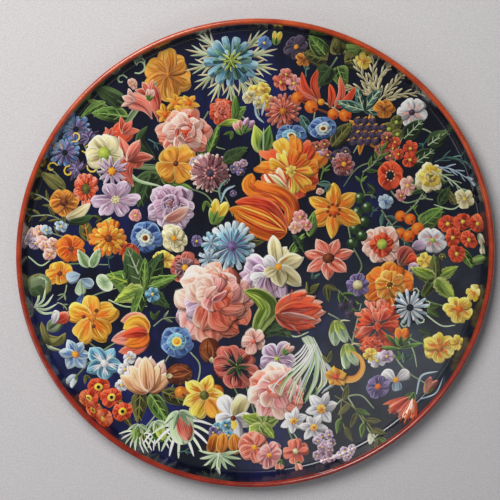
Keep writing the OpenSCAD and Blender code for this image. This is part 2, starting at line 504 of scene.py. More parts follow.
# ---------------------------------------------------------------------------------------------
# Materials
# ---------------------------------------------------------------------------------------------
class Look:
    """A material in the making, with short ways to add and link its nodes."""

    def __init__(self, name):
        self.material = bpy.data.materials.new(name)
        self.material.use_nodes = True
        self.nodes = self.material.node_tree.nodes
        self.where = self.add("TexCoord", "Object")

    def feed(self, socket, value):
        """Links value to the socket where it is a node's output, and sets it otherwise."""
        if isinstance(value, bpy.types.NodeSocket):
            self.material.node_tree.links.new(value, socket)
        else:
            socket.default_value = value

    def add(self, kind, output, inputs=None, **settings):
        """Adds a node with those settings and inputs, and returns the output of that name."""
        node = self.nodes.new("ShaderNode" + kind)
        for name, value in settings.items():
            setattr(node, name, value)
        for name, value in (inputs or {}).items():
            self.feed(next(s for s in node.inputs if s.name == name and s.enabled), value)
        return next(s for s in node.outputs if s.name == output and s.enabled)

    def noise(self, vector, scale, detail, rough):
        inputs = {"Vector": vector, "Scale": scale, "Detail": detail, "Roughness": rough}
        return self.add("TexNoise", "Fac", inputs)

    def ramp(self, source, low, high, from_value=0.0, to_value=1.0):
        inputs = {"Value": source, "From Min": low, "From Max": high, "To Min": from_value,
            "To Max": to_value}
        return self.add("MapRange", "Result", inputs, interpolation_type="SMOOTHSTEP")

    def mixed(self, share, first, second):
        """A colour between two: each is a hex code or a node's output."""
        pair = [(*linear(c), 1.0) if isinstance(c, str) else c for c in (first, second)]
        return self.add("Mix", "Result", {"Factor": share, "A": pair[0], "B": pair[1]}, data_type="RGBA")

    def relief(self, height, strength, distance):
        return self.add("Bump", "Normal", {"Height": height, "Strength": strength, "Distance": distance})

    def maths(self, operation, first, second):
        result = self.add("Math", "Value", operation=operation)
        self.feed(result.node.inputs[0], first)
        self.feed(result.node.inputs[1], second)
        return result

    def finish(self, **values):
        """Sets or links the shader's inputs, whose names are written with _ for a space."""
        for name, value in values.items():
            self.feed(self.nodes["Principled BSDF"].inputs[name.replace("_", " ")], value)
        return self.material


def make_oil_paint():
    """Oil paint under varnish: streaks that follow the brush, and a clear coat over all."""
    look = Look("oil_paint")
    body = look.add("Attribute", "Color", attribute_name="body")
    streak = look.add("Attribute", "Color", attribute_name="streak")
    brush = look.add("Attribute", "Vector", attribute_name="brush")
    both = look.maths("ADD", look.noise(brush, 1.5, 3.0, 0.6), look.noise(brush, 0.42, 2.0, 0.5))
    hairs = look.maths("MULTIPLY", both, 0.5)
    return look.finish(
        Base_Color=look.mixed(look.ramp(hairs, 0.42, 0.58), body, streak),
        Roughness=look.ramp(hairs, 0.3, 0.7, 0.42, 0.30),
        Normal=look.relief(hairs, 0.08, 0.0002),
        Coat_Weight=0.8, Coat_Roughness=0.12, Coat_IOR=1.5, Specular_IOR_Level=0.3)


def make_ground():
    """Near-black navy lacquer, with ultramarine brushed into it, under glossy varnish, and a painted grey
    reflection of the room's light laid over it in places.
    """
    look = Look("ground_lacquer")
    clouds = look.noise(look.where, 9.0, 4.0, 0.6)
    inputs = {"Vector": look.where, "Scale": (60.0, 14.0, 1.0), "Rotation": (0.0, 0.0, 0.7)}
    strokes = look.noise(look.add("Mapping", "Vector", inputs), 1.0, 4.0, 0.65)
    ultramarine_and_reflection = look.add("Attribute", "Color", attribute_name="ultramarine_and_reflection")
    blues = look.add("SeparateColor", "Red", {"Color": ultramarine_and_reflection})
    # The colour layer's second share is where a grey reflection of the room's light is painted onto the
    # ground
    painted_reflection_share = blues.node.outputs["Green"]
    worn = look.maths("MULTIPLY", look.ramp(clouds, 0.36, 0.58), blues)
    deep = look.mixed(look.ramp(strokes, 0.35, 0.7), "#080a18", "#0f1328")
    blue = look.mixed(look.ramp(strokes, 0.3, 0.7), "#151a4c", "#272d78")
    # Painted reflection: a grey-blue haze that stands in for the varnish reflecting the room's light
    painted_reflection = look.mixed(look.ramp(clouds, 0.40, 0.62), "#10131c", "#3a404d")
    return look.finish(
        Base_Color=look.mixed(worn, look.mixed(painted_reflection_share, deep, painted_reflection), blue),
        Roughness=look.ramp(strokes, 0.3, 0.7, 0.30, 0.22),
        Normal=look.relief(look.noise(look.where, 30.0, 2.0, 0.5), 0.02, 0.002),
        Coat_Weight=1.0, Coat_Roughness=0.19, Coat_IOR=1.5, Specular_IOR_Level=0.25)


def make_enamel():
    """Orange-red enamel brushed round the bead, darker where it pools, with painted light: lighter towards
    the far side and darker towards the near side.
    """
    look = Look("rim_enamel")
    mottle = look.noise(look.where, 45.0, 4.0, 0.6)
    pools = look.noise(look.where, 260.0, 3.0, 0.6)
    # Painted light: the enamel's colour runs from darker at the near side to lighter at the far side
    painted_light_share = look.ramp(look.add("SeparateXYZ", "Y", {"Vector": look.where}), -0.16, 0.22)
    deep = look.mixed(painted_light_share, "#861c10", "#ac3a14")
    bright = look.mixed(painted_light_share, "#a6301a", "#cc5422")
    base = look.mixed(look.ramp(mottle, 0.35, 0.68), deep, bright)
    return look.finish(
        Base_Color=look.mixed(look.ramp(pools, 0.55, 0.75, 0.0, 0.5), base, "#7a1c0a"),
        Roughness=look.ramp(pools, 0.3, 0.7, 0.24, 0.36),
        Normal=look.relief(pools, 0.12, 0.0006),
        Coat_Weight=0.7, Coat_Roughness=0.14)


def make_back_lacquer():
    """Black lacquer on the back, with faint brush marks, dust and a few rubbed places."""
    look = Look("back_lacquer")
    marks = look.add("Mapping", "Vector", {"Vector": look.where, "Scale": (220.0, 12.0, 12.0)})
    lines = look.noise(marks, 1.0, 4.0, 0.6)
    rubbed = look.noise(look.where, 26.0, 5.0, 0.65)
    base = look.mixed(look.ramp(lines, 0.35, 0.7), "#121214", "#1c1b1d")
    return look.finish(
        Base_Color=look.mixed(look.ramp(rubbed, 0.60, 0.72, 0.0, 0.5), base, "#2b2826"),
        Roughness=look.ramp(rubbed, 0.4, 0.7, 0.22, 0.42),
        Normal=look.relief(lines, 0.10, 0.0006),
        Coat_Weight=0.6, Coat_Roughness=0.15)


def make_steel(name, low, high, rough):
    """Drawn wire or tinned sheet, dulled and spotted by age."""
    look = Look(name)
    age = look.noise(look.where, 700.0, 5.0, 0.6)
    return look.finish(
        Base_Color=look.mixed(look.ramp(age, 0.4, 0.65), low, high),
        Roughness=look.ramp(age, 0.3, 0.7, rough + 0.15, rough),
        Normal=look.relief(age, 0.15, 0.0002),
        Metallic=1.0)


def make_floor_material():
    """Pale paper-like floor with a fine grain."""
    look = Look("floor")
    grain = look.noise(look.where, 700.0, 3.0, 0.6)
    return look.finish(
        Base_Color=look.mixed(look.ramp(grain, 0.3, 0.7), "#c8c5c7", "#dbd8da"),
        Roughness=0.9, Specular_IOR_Level=0.1)


oil_paint = make_oil_paint()
ground_lacquer = make_ground()
enamel = make_enamel()
back_lacquer = make_back_lacquer()
tinned = make_steel("tinned_steel", "#6e6a64", "#b4b0a8", 0.30)
wire_steel = make_steel("iron_wire", "#4a4845", "#8c8882", 0.34)


# ---------------------------------------------------------------------------------------------
# Motifs: each returns patches, in the order the brush laid them
# ---------------------------------------------------------------------------------------------
def at(x, y, ang, dist, squash=1.0, lean=0.0):
    """The point that far from x, y at that angle, on a flower squashed along lean."""
    a, q = math.radians(ang), math.radians(lean)
    dx, dy = dist * math.cos(a), dist * math.sin(a)
    down = (dx * math.cos(q) + dy * math.sin(q)) * (squash - 1)
    return x + dx + down * math.cos(q), y + dy + down * math.sin(q)


def dab(x, y, r, scheme):
    """A tiny round dab."""
    return spot(x, y, r, scheme, n=4)


def bloom(x, y, r, scheme, petals=5, width=1.08, outline="wide", turn=None, squash=None, lean=0.0,
          core="yellow", core_r=0.2, rings=1, inner=None, frill=0.025, veins=None, dots=None,
          edge=0.6, tone=0.5, step=0.3, n=7):
    """An open flower: rings of petals, veins and a centre. It is tilted by chance unless squash is given."""
    out = []
    turn = rng.uniform(0, 360) if turn is None else turn
    if squash is None:
        squash, lean = rng.uniform(0.80, 1.0), rng.uniform(0, 180)
    for ring in range(rings):
        reach = r * (1 - step * ring)
        use = inner if ring and inner else scheme
        for k in range(petals):
            ang = turn + 360 / petals * (k + ring / 2) + rng.uniform(-6, 6)
            long = reach * rng.uniform(0.88, 1.08)
            wide = width * 1.44 * long * math.sin(math.pi / petals)
            out += petal(x, y, ang, long, wide, use, outline, frill=frill, squash=squash, lean=lean,
                         edge=edge, tone=tone, n=n)
            for fan in (-60, 0, 60) if veins else ():
                tip = at(x, y, ang + fan / petals, long * 0.72, squash, lean)
                out += stroke([at(x, y, ang, long * 0.12, squash, lean), tip], r * 0.07, veins, (0.9, 0.2))
            a = math.radians(ang)
            lit_side = -LIGHT_DIR[0] * math.sin(a) + LIGHT_DIR[1] * math.cos(a)
            off = math.copysign(52 / petals, lit_side)
            sweep = (ang + off * 1.25, ang + off, ang + off * 0.6)
            out += accent(x, y, sweep, (0.50, 0.72, 0.92), long, r * 0.05, use, 3, squash, lean)
            if ring == 0 and petals < 10:  # dark paint between the petals
                gap = ang + 180 / petals
                out += accent(x, y, (gap, gap, gap), (0.10, 0.35, 0.62), long, r * 0.045, use, 0, squash,
                    lean)
    if core:
        out += spot(x, y, r * core_r, core, squash, lean)
    for k in range(8) if dots else ():
        px, py = at(x, y, k * 45 + 10, r * core_r * 1.15, squash, lean)
        out += dab(px, py, r * 0.055, dots)
    return out


def accent(x, y, angles, reaches, long, width, scheme, level, squash, lean):
    """A thin stroke of the scheme's lightest or darkest paint across a petal."""
    points = [at(x, y, ang, reach * long, squash, lean) for ang, reach in zip(angles, reaches)]
    return stroke(points, width, scheme, (0.4, 0.2), 1.0, level)


def rose(x, y, r, scheme, inner, deep, turn=0.0):
    """A double rose or peony: ruffled outer petals, folded inner ones, and a heart with folds over it."""
    out = bloom(x, y, r, scheme, 7, 1.3, "wide", turn, 1.0, 0.0, None, frill=0.07, n=8, edge=0.8)
    hx, hy = at(x, y, turn + 60, r * 0.10)
    out += spot(hx, hy, r * 0.62, deep, lobes=5, lobe=0.08)
    out += bloom(hx, hy, r * 0.76, inner, 5, 1.25, "wide", turn + 20, 1.0, 0.0, None, frill=0.09, edge=0.9)
    out += spot(hx, hy, r * 0.36, deep)
    folds = ((6, 0.30, 0, 0.44, 0.24, 0.4, 6), (3, 0.15, 30, 0.26, 0.15, 0.35, 5))
    for count, away, first, long, wide, bend, n in folds:
        for k in range(count):
            ang = turn + 360 / count * k + first
            px, py = at(hx, hy, ang, r * away)
            use = scheme if count == 6 and k % 2 == 0 else inner
            out += petal(px, py, ang + 100, r * long, r * wide, use, "oval", bend=bend, edge=1.0, n=n)
    return out + spot(*at(hx, hy, turn, r * 0.02), r * 0.07, deep)


def trumpet(points, width, scheme, mouth, spread=44.0):
    """A honeysuckle flower: a tube that widens along points, and three pointed lobes that curl back."""
    out = swath(points, width * 1.35, scheme, "fan", n=7, split=0.4)
    px, py, way = along(points, 2)[1]
    foot = at(px, py, way + 180, width * 0.55)
    for share in (-0.5, 0.5, 0.0):
        out += petal(*foot, way + spread * share, width * 1.05, width * 0.50, mouth, "point",
            bend=0.7 * share, edge=1.0, n=7)
    return out


def cup(x, y, r, ang, scheme, inner, petals=5, spread=80.0, outline="flame", width=0.40, deep=None,
        veins=None):
    """A tulip or half-open flower from the side: inner petals behind, outer ones lapping over them."""
    out = []
    bx, by = at(x, y, ang + 180, r * 0.8)
    for layer, use in ((0, inner), (1, scheme)):
        many = petals - layer
        order = sorted(range(many), key=lambda k: -abs(k / max(many - 1, 1) - 0.5))
        for k in order:
            share = (k / max(many - 1, 1) - 0.5) * 2
            turn = ang + share * spread / 2
            long = r * (1.75 - 0.22 * abs(share)) * rng.uniform(0.92, 1.08) * (1 - 0.06 * layer)
            out += petal(bx, by, turn, long, long * width, use, outline, bend=-0.22 * share, frill=0.03,
                edge=0.8, n=9)
            for fan in (-4, 4) if veins and layer else ():
                aside = (fan * 0.004 - 0.12 * share) * long
                tip = at(*at(bx, by, turn, long * 0.8), turn - 90, aside)
                out += stroke([at(bx, by, turn, long * 0.12), at(bx, by, turn + fan, long * 0.45), tip],
                    r * 0.055, veins, (0.9, 0.2))
        if layer == 0 and deep:
            out += petal(bx, by, ang, r * 1.15, r * 0.6, deep, "flame", n=6)
    return out


def glory(x, y, r, scheme, star="ice", core="brown", squash=1.0, lean=0.0, throat="cream"):
    """Morning glory: a round funnel with a pale star and a dark throat."""
    out = bloom(x, y, r, scheme, 5, 1.6, "wide", 90, squash, lean, None, edge=0.9, tone=0.7)
    out += bloom(x, y, r * 0.56, star, 5, 1.6, "wide", 126, squash, lean, None, edge=0.6, tone=0.3)
    out += spot(x, y, r * 0.30, throat, squash, lean, hollow=True)
    return out + spot(x, y, r * 0.17, core, squash, lean)


def carnation(x, y, r, scheme, inner=None, ang=90.0, spread=360.0, rings=3, many=13, core=None, width=0.34,
              notch=0.14, outline="fan", edge=0.8):
    """Rings of narrow toothed petals, all round or in a fan."""
    out = []
    for ring in range(rings):
        count = max(4, int(many * (1 - 0.2 * ring) * spread / 360))
        for k in range(count):
            turn = ang + spread * ((k + 0.5 * (ring % 2)) / (count if spread > 359 else count - 1) - 0.5)
            turn += rng.uniform(-5, 5)
            long = r * (1 - 0.27 * ring) * rng.uniform(0.9, 1.08)
            out += petal(x, y, turn, long, long * width, inner if inner and ring % 2 else scheme, outline,
                         notch=notch, edge=edge, n=5)
    if core:
        out += spot(x, y, r * 0.2, core)
    return out


def ruffled(x, y, rx, ry, scheme, inner, count=11):
    """A ragged double flower: toothed petals in rings that grow smaller towards the middle."""
    out = []
    for ring, many in ((1.0, count), (0.72, count - 2), (0.42, count - 4), (0.12, 4)):
        for k in range(many):
            a = 2 * math.pi * (k + rng.uniform(-0.2, 0.2)) / many + ring * 2
            px, py = x + 0.5 * ring * rx * math.cos(a), y + 0.5 * ring * ry * math.sin(a)
            out += petal(px, py, math.degrees(a), 0.55 * max(rx, ry), 0.62 * rx,
                inner if rng.random() < 0.35 else scheme, "fan", notch=0.15, frill=0.16, edge=0.85, n=8)
    for k in range(5):
        out += petal(*at(x, y, 72 * k + 180, 0.15 * rx), 72 * k, 0.4 * rx, 0.3 * rx, scheme, "fan",
            frill=0.16, n=6)
    return out


def daisy(x, y, r, scheme, core, many=12):
    """One ring of narrow petals round a dotted middle."""
    out = carnation(x, y, r, scheme, None, 0, 360, 1, many, width=0.24, notch=0.05, outline="strap")
    out += spot(x, y, r * 0.27, core)
    for k in range(7):
        out += dab(*at(x, y, 51 * k, r * 0.26), r * 0.05, "brown")
    return out


def leaf(x, y, length, ang, scheme="green", width=0.42, bend=0.0, teeth=0, veins="own", ribs=3,
         outline="leaf", n=8):
    """A leaf from its stalk at x, y, with a midrib and side veins in a lighter paint."""
    out = petal(x, y, ang, length, length * width, scheme, outline, bend=bend, teeth=teeth, tone=0.6,
                n=22 if teeth else n, split=0.65)
    a = math.radians(ang)
    way, side = np.array([math.cos(a), math.sin(a)]), np.array([-math.sin(a), math.cos(a)])

    def spine(t, s=0.0):
        p = way * length * t + side * (bend * length * t * t + s * length * width)
        return x + p[0], y + p[1]

    level = 2 if veins == "own" else 1
    veins = scheme if veins == "own" else veins
    if veins:
        out += stroke([spine(0), spine(0.5), spine(0.95)], length * 0.04, veins, (1.0, 0.2), level=level)
    for k in range(ribs if veins else 0):
        t = 0.2 + 0.55 * k / max(ribs - 1, 1)
        for s in (-0.33, 0.33):
            out += stroke([spine(t), spine(t + 0.17, s * (1 - t * 0.5))], length * 0.025, veins, (0.9, 0.2),
                          level=level)
    return out


def rosette(x, y, r, scheme, count, turn=0.0, spread=360.0, width=0.4, teeth=0, veins="own", light=None,
            ribs=3):
    """Leaves round a point, or in a fan from it. light is a second scheme for every other leaf."""
    out = []
    for k in range(count):
        ang = turn + spread * (k / count if spread > 359 else k / max(count - 1, 1) - 0.5)
        use = light if light and k % 2 else scheme
        out += leaf(x, y, r * rng.uniform(0.85, 1.05), ang, use, width, rng.uniform(-0.15, 0.15), teeth,
            veins, ribs)
    return out


def along(points, count, first=0.15, last=1.0):
    """Points and headings, in degrees, at even steps along a curve."""
    line = curve_through(points, 60)
    spots = []
    for share in np.linspace(first, last, count):
        k = min(int(share * 59), 59)
        dx, dy = line[k + 1] - line[k]
        spots.append((line[k][0], line[k][1], math.degrees(math.atan2(dy, dx))))
    return spots


def each(make, *rows, **same):
    """Calls make for each row of arguments, with the same further ones, and joins what it makes."""
    return [made for row in rows for made in make(*row, **same)]


def stem(points, width=0.0065, scheme="stem"):
    """A stalk that thins towards its end."""
    return stroke(points, width, scheme, (1.0, 0.5))


def sprig(points, size, scheme, count=7, width=0.32, stalk="stem", angle=48.0, outline="leaf"):
    """A twig with leaves to both sides and one at its tip."""
    out = stem(points, size * 0.11, stalk)
    for k, (px, py, way) in enumerate(along(points, count, 0.12, 0.95)):
        side = 1 if k % 2 else -1
        long = size * (1.05 - 0.35 * k / count)
        out += leaf(px, py, long, way + side * angle, scheme, width, -side * 0.12, 0, None, 0, outline, n=5)
    px, py, way = along(points, 2)[1]
    return out + petal(px, py, way, size, size * width, scheme, outline, n=5)


def berries(points, r, scheme, calyx="brown"):
    """Round berries at the points, each with a dark dab of calyx."""
    out = []
    for px, py in points:
        size = r * rng.uniform(0.88, 1.1)
        out += spot(px, py, size, scheme, n=6)
        if calyx:
            out += dab(px + size * 0.35, py - size * 0.45, size * 0.22, calyx)
    return out


def cluster(x, y, r, size, count, scheme, other=None):
    """Small flowers packed in a round heap."""
    out = []
    for k in range(count):
        ang = k * 137.5
        px, py = at(x, y, ang, r * math.sqrt((k + 0.5) / count))
        out += bloom(px, py, size, other if other and k % 2 else scheme, 5, 1.3, "wide", ang, n=4)
    return out


def curl(x, y, size, ang, scheme, turns=1.0, width=0.008):
    """A tendril: a shrinking spiral from x, y."""
    centre = at(x, y, ang, size)
    steps = 9
    points = [at(*centre, ang + 180 + 300 * turns * k / steps, size * (1 - 0.75 * k / steps))
              for k in range(steps + 1)]
    return stroke(points, width, scheme, (0.7, 0.3))


def spikes(x, y, r, scheme, count, ang=90.0, spread=120.0, width=0.16, bend=0.2):
    """Narrow pointed sepals or strands fanning from a point."""
    out = []
    for k in range(count):
        share = k / max(count - 1, 1) - 0.5
        turn = ang + share * spread if spread < 359 else ang + 360 * k / count
        out += petal(x, y, turn, r * rng.uniform(0.85, 1.1), r * width, scheme, "point", bend=bend * share,
            n=5)
    return out


def bud(x, y, r, ang, scheme, sepal="green"):
    """A closed bud in its green sepals, pointing along ang."""
    bx, by = at(x, y, ang + 180, r)
    out = petal(bx, by, ang - 14, r * 2, r * 0.95, scheme, "oval", n=6)
    out += petal(bx, by, ang + 12, r * 1.95, r * 0.8, scheme, "oval", edge=0.9, n=6)
    for turn in (-34, 30, 0):
        out += petal(bx, by, ang + turn, r * 1.15, r * 0.42, sepal, "leaf", n=5)
    return out


# ---------------------------------------------------------------------------------------------
# The tray itself
# ---------------------------------------------------------------------------------------------
TURNS = 480  # facets round the lacquer and the enamel
FIELD_STEPS = 64
PAN_FIELD_STEPS = 8
BEND_STEPS = 14
LIP_STEPS = 6
ROLL_STEPS = 36
ROLL_FROM, ROLL_SWEEP = 160.0, 301.25  # the pan's edge rolls over the wire from here, in degrees
ENAMEL_STEPS = 40
ENAMEL_FROM, ENAMEL_SWEEP = -146, 306

# Ultramarine brushed into the ground, and spots of painted grey reflection of the room's light on the
# varnish, mostly at the lower right: x, y, reach and strength
BLUES = [(-0.62, -0.42, 0.30, 1.0), (-0.35, -0.72, 0.24, 1.0), (-0.85, -0.30, 0.18, 0.8),
    (-0.12, 0.74, 0.20, 0.9), (-0.72, 0.02, 0.16, 0.8), (0.22, -0.28, 0.14, 0.5), (-0.20, -0.50, 0.18, 0.8),
    (0.05, 0.62, 0.15, 0.7), (0.42, 0.20, 0.12, 0.5), (-0.48, 0.62, 0.12, 0.5), (0.0, -0.78, 0.20, 0.7),
    (-0.58, 0.18, 0.12, 0.5)]
PAINTED_REFLECTIONS = [(-0.70, -0.36, 0.22, 0.6), (0.62, -0.42, 0.34, 1.0), (0.38, -0.78, 0.26, 0.8),
    (0.80, -0.16, 0.20, 0.7), (0.45, -0.25, 0.18, 0.5)]


def revolve(name, profiles, material, tint=False):
    """Turns closed profiles, one for each angle, into a ring, or into a disc if they start at r = 0."""
    count, turns = len(profiles[0]), len(profiles)
    on_axis = profiles[0][0][0] == 0
    coords = []
    for k, profile in enumerate(profiles):
        a = 2 * math.pi * k / turns
        coords += [(r * math.cos(a), r * math.sin(a), z) for r, z in profile]
    faces = []
    for k in range(turns):
        here, there = k * count, (k + 1) % turns * count
        for j in range(count - 1 if on_axis else count):
            i = (j + 1) % count
            faces.append((here + j, there + j, there + i, here + i))
    if on_axis:
        top, under = profiles[0][0][1], profiles[0][-1][1]
        coords += [(0, 0, top), (0, 0, under)]
        merge = {k * count: len(coords) - 2 for k in range(turns)}
        merge.update({(k + 1) * count - 1: len(coords) - 1 for k in range(turns)})
        faces = [list(dict.fromkeys(merge.get(v, v) for v in face)) for face in faces]
        used = sorted({v for face in faces for v in face})
        renumber = {v: k for k, v in enumerate(used)}
        coords = [coords[v] for v in used]
        faces = [[renumber[v] for v in face] for face in faces]
    mesh = bpy.data.meshes.new(name)
    mesh.from_pydata(coords, [], faces)
    mesh.update()
    mesh.polygons.foreach_set("use_smooth", [True] * len(mesh.polygons))
    mesh.set_sharp_from_angle(angle=CREASE_IN_SHEET)
    # The colour layer holds the ultramarine patches in its first share and the spots of painted reflection in
    # its second
    if tint:
        layer = mesh.attributes.new("ultramarine_and_reflection", "FLOAT_COLOR", "POINT")
        flat = np.array(coords)[:, :2] / TRAY_R
        values = np.zeros((len(coords), 4))
        for channel, spots in ((0, BLUES), (1, PAINTED_REFLECTIONS)):
            for px, py, reach, strength in spots:
                gap = np.hypot(flat[:, 0] - px, flat[:, 1] - py) / reach
                values[:, channel] = np.maximum(values[:, channel], strength * np.exp(-gap ** 2))
        layer.data.foreach_set("color", values.ravel())
    return on_tray(name, mesh, material)


def arc(centre, radius, angles):
    return [(centre[0] + radius * math.cos(a), centre[1] + radius * math.sin(a)) for a in angles]


def face_profile():
    """Lacquer from the middle out, round the bend and up the lip, then back on its underside."""
    top = [((FIELD_R * k / FIELD_STEPS, FACE_Z), (0.0, -1.0)) for k in range(FIELD_STEPS + 1)]
    for k in range(1, BEND_STEPS):
        a = -math.pi / 2 + LIP_ANGLE * k / BEND_STEPS
        away = (math.cos(a), math.sin(a))
        top.append(((BEND_AT[0] + BEND_R * away[0], BEND_AT[1] + BEND_R * away[1]), away))
    away = (LIP_WAY[1], -LIP_WAY[0])
    top += [(tuple(LIP_FOOT + LIP_WAY * LACQUER_LONG * k / LIP_STEPS), away) for k in range(LIP_STEPS + 1)]
    under = top[:FIELD_STEPS:-1] + top[FIELD_STEPS::-16]
    back = [(r + LACQUER_T * out[0], z + LACQUER_T * out[1]) for (r, z), out in under]
    return [point for point, out in top] + back


def pan_profile():
    """The pressed sheet: its upper side from the middle out, the rolled edge, and back underneath."""
    sweep = [math.radians(a) for a in range(-90, -19, 5)]
    turns = [math.radians(ROLL_FROM - ROLL_SWEEP * k / ROLL_STEPS) for k in range(ROLL_STEPS + 1)]

    def lip(radius, steps):
        foot = BEND_AT - radius * LIP_IN
        return [tuple(foot + LIP_WAY * LIP_LONG * k / 4) for k in steps]

    def field(z, steps):
        return [(FIELD_R * k / PAN_FIELD_STEPS, z) for k in steps]

    upper = field(SHEET, range(PAN_FIELD_STEPS)) + arc(BEND_AT, SHEET_BEND_R, sweep) + lip(SHEET_BEND_R,
        (1, 2, 3))
    edge = arc(BEAD_AT, SHEET_ROLL_R, turns) + arc(BEAD_AT, SHEET_ROLL_R - SHEET, turns[::-1])
    outer = SHEET_BEND_R + SHEET
    lower = lip(outer, (3, 2, 1)) + arc(BEND_AT, outer, sweep[::-1]) + field(0.0,
        range(PAN_FIELD_STEPS - 1, -1, -1))
    return upper + edge + lower


def enamel_profile(turn):
    """Enamel round the bead, and a strip down the inside of the lip whose edge wanders with the brush."""
    wander = 0.00035 * math.sin(5 * turn) + 0.0003 * math.sin(17 * turn + 1) + 0.00015 * math.sin(
        43 * turn + 2)
    drop = ENAMEL_DOWN + wander
    swell = 1 + 0.006 * math.sin(31 * turn) + 0.005 * math.sin(67 * turn + 2)
    angles = [math.radians(ENAMEL_FROM + ENAMEL_SWEEP * k / ENAMEL_STEPS) for k in range(ENAMEL_STEPS + 1)]
    outside = arc(BEAD_AT, BEAD_R * min(1, swell), angles)
    lip_top = LIP_FOOT + LIP_WAY * LIP_LONG
    strip = [tuple(lip_top + LIP_IN * ENAMEL_T - LIP_WAY * drop * k / 4) for k in range(1, 5)]
    strip += [tuple(lip_top - LIP_WAY * drop)]
    return outside + strip + arc(BEAD_AT, BEAD_R - ENAMEL_T, angles[::-1])


face = revolve("face_lacquer", [face_profile()] * TURNS, ground_lacquer, tint=True)
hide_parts("face_coat")
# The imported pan's facets would stand up through the thin lacquer in the bend, so the pan is finer here
pan = revolve("pan_sheet", [pan_profile()] * (TURNS // 2), back_lacquer)
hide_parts("tray_pan")
around = [enamel_profile(2 * math.pi * k / TURNS) for k in range(TURNS)]
rim = revolve("rim_enamel_paint", around, enamel)
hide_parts("rim_enamel")

for node, material in (("rim_wire", wire_steel), ("hanger_strap", tinned), ("hanging_ring", wire_steel)):
    shown = frame["nodes"][node]
    shown.data.materials.clear()
    shown.data.materials.append(material)

# ---------------------------------------------------------------------------------------------
# The painting, from the back layers to the front ones. Places are shares of the tray's radius
# ---------------------------------------------------------------------------------------------
piece("stems_upper",
    *[stem(p)
        for p in ([(-0.43, 0.75), (-0.60, 0.45), (-0.38, 0.39)],
            [(-0.74, 0.55), (-0.66, 0.38), (-0.58, 0.26)], [(-0.10, 0.64), (0.0, 0.52), (0.02, 0.36)],
            [(0.10, 0.62), (0.14, 0.5), (0.15, 0.40)], [(0.50, 0.67), (0.46, 0.55), (0.40, 0.44)],
            [(0.64, 0.6), (0.60, 0.5), (0.56, 0.36)], [(-0.34, 0.62), (-0.28, 0.5), (-0.30, 0.36)],
            [(0.33, 0.84), (0.26, 0.72), (0.23, 0.55)], [(-0.10, 0.8), (-0.02, 0.72), (0.01, 0.6)],
            [(0.72, 0.32), (0.66, 0.22), (0.56, 0.13)])])
piece("stems_right",
    *[stem(p)
        for p in ([(0.92, 0.13), (0.8, 0.05), (0.66, 0.0)], [(0.75, 0.18), (0.64, 0.12), (0.52, 0.06)],
            [(0.85, -0.23), (0.74, -0.2), (0.58, -0.14)], [(0.77, -0.4), (0.66, -0.36), (0.55, -0.28)],
            [(0.73, -0.56), (0.62, -0.48), (0.52, -0.32)], [(0.36, -0.5), (0.40, -0.38), (0.44, -0.2)])])
piece("stems_lower",
    *[stem(p)
        for p in ([(-0.84, -0.26), (-0.7, -0.16), (-0.52, -0.1)],
            [(-0.78, -0.52), (-0.66, -0.4), (-0.5, -0.3)], [(-0.56, -0.64), (-0.46, -0.55), (-0.36, -0.4)],
            [(-0.5, -0.76), (-0.42, -0.66), (-0.33, -0.5)], [(-0.2, -0.9), (-0.15, -0.75), (-0.1, -0.6)],
            [(0.17, -0.84), (0.12, -0.7), (0.1, -0.58)], [(0.05, -0.84), (0.0, -0.7), (-0.06, -0.5)],
            [(0.53, -0.84), (0.42, -0.66), (0.32, -0.5)], [(0.29, -0.86), (0.28, -0.72), (0.24, -0.5)],
            [(-0.9, -0.1), (-0.8, -0.02), (-0.62, -0.02)])])

tendrils = (((-0.20, 0.62), (-0.23, 0.55), (-0.18, 0.48), (-0.13, 0.46)),
    ((-0.86, 0.40), (-0.80, 0.32), (-0.84, 0.22)), ((0.21, 0.68), (0.30, 0.64), (0.40, 0.56), (0.44, 0.48)),
    ((0.56, 0.50), (0.52, 0.42), (0.42, 0.38), (0.36, 0.30)),
    ((0.70, 0.25), (0.62, 0.23), (0.56, 0.28), (0.57, 0.33)), ((0.87, 0.24), (0.82, 0.20), (0.74, 0.22)),
    ((-0.28, 0.30), (-0.20, 0.26), (-0.16, 0.15), (-0.22, 0.08)),
    ((-0.22, 0.30), (-0.14, 0.27), (-0.10, 0.18)), ((-0.62, -0.17), (-0.55, -0.20), (-0.46, -0.20)),
    ((-0.72, -0.34), (-0.66, -0.40), (-0.70, -0.48)),
    ((-0.28, -0.40), (-0.24, -0.46), (-0.26, -0.55), (-0.33, -0.62)),
    ((0.10, -0.30), (0.16, -0.34), (0.22, -0.32)),
    ((0.30, -0.24), (0.36, -0.28), (0.40, -0.36), (0.46, -0.40)),
    ((0.60, -0.30), (0.66, -0.40), (0.68, -0.48)), ((0.70, -0.24), (0.78, -0.30), (0.84, -0.30)),
    ((0.30, -0.70), (0.36, -0.62), (0.44, -0.60), (0.50, -0.66)),
    ((-0.10, -0.55), (-0.06, -0.64), (-0.04, -0.74)), ((0.17, -0.62), (0.14, -0.72), (0.18, -0.80)),
    ((0.38, 0.14), (0.40, 0.05), (0.44, -0.04), (0.40, -0.10)), ((0.66, 0.0), (0.72, -0.06), (0.80, -0.12)),
    ((-0.95, 0.02), (-0.90, -0.02), (-0.86, 0.0)), ((0.60, 0.50), (0.68, 0.54), (0.76, 0.50)))
piece("tendrils", *[stem(p, 0.006, ("stem", "stem", "mint")[k % 3]) for k, p in enumerate(tendrils)])

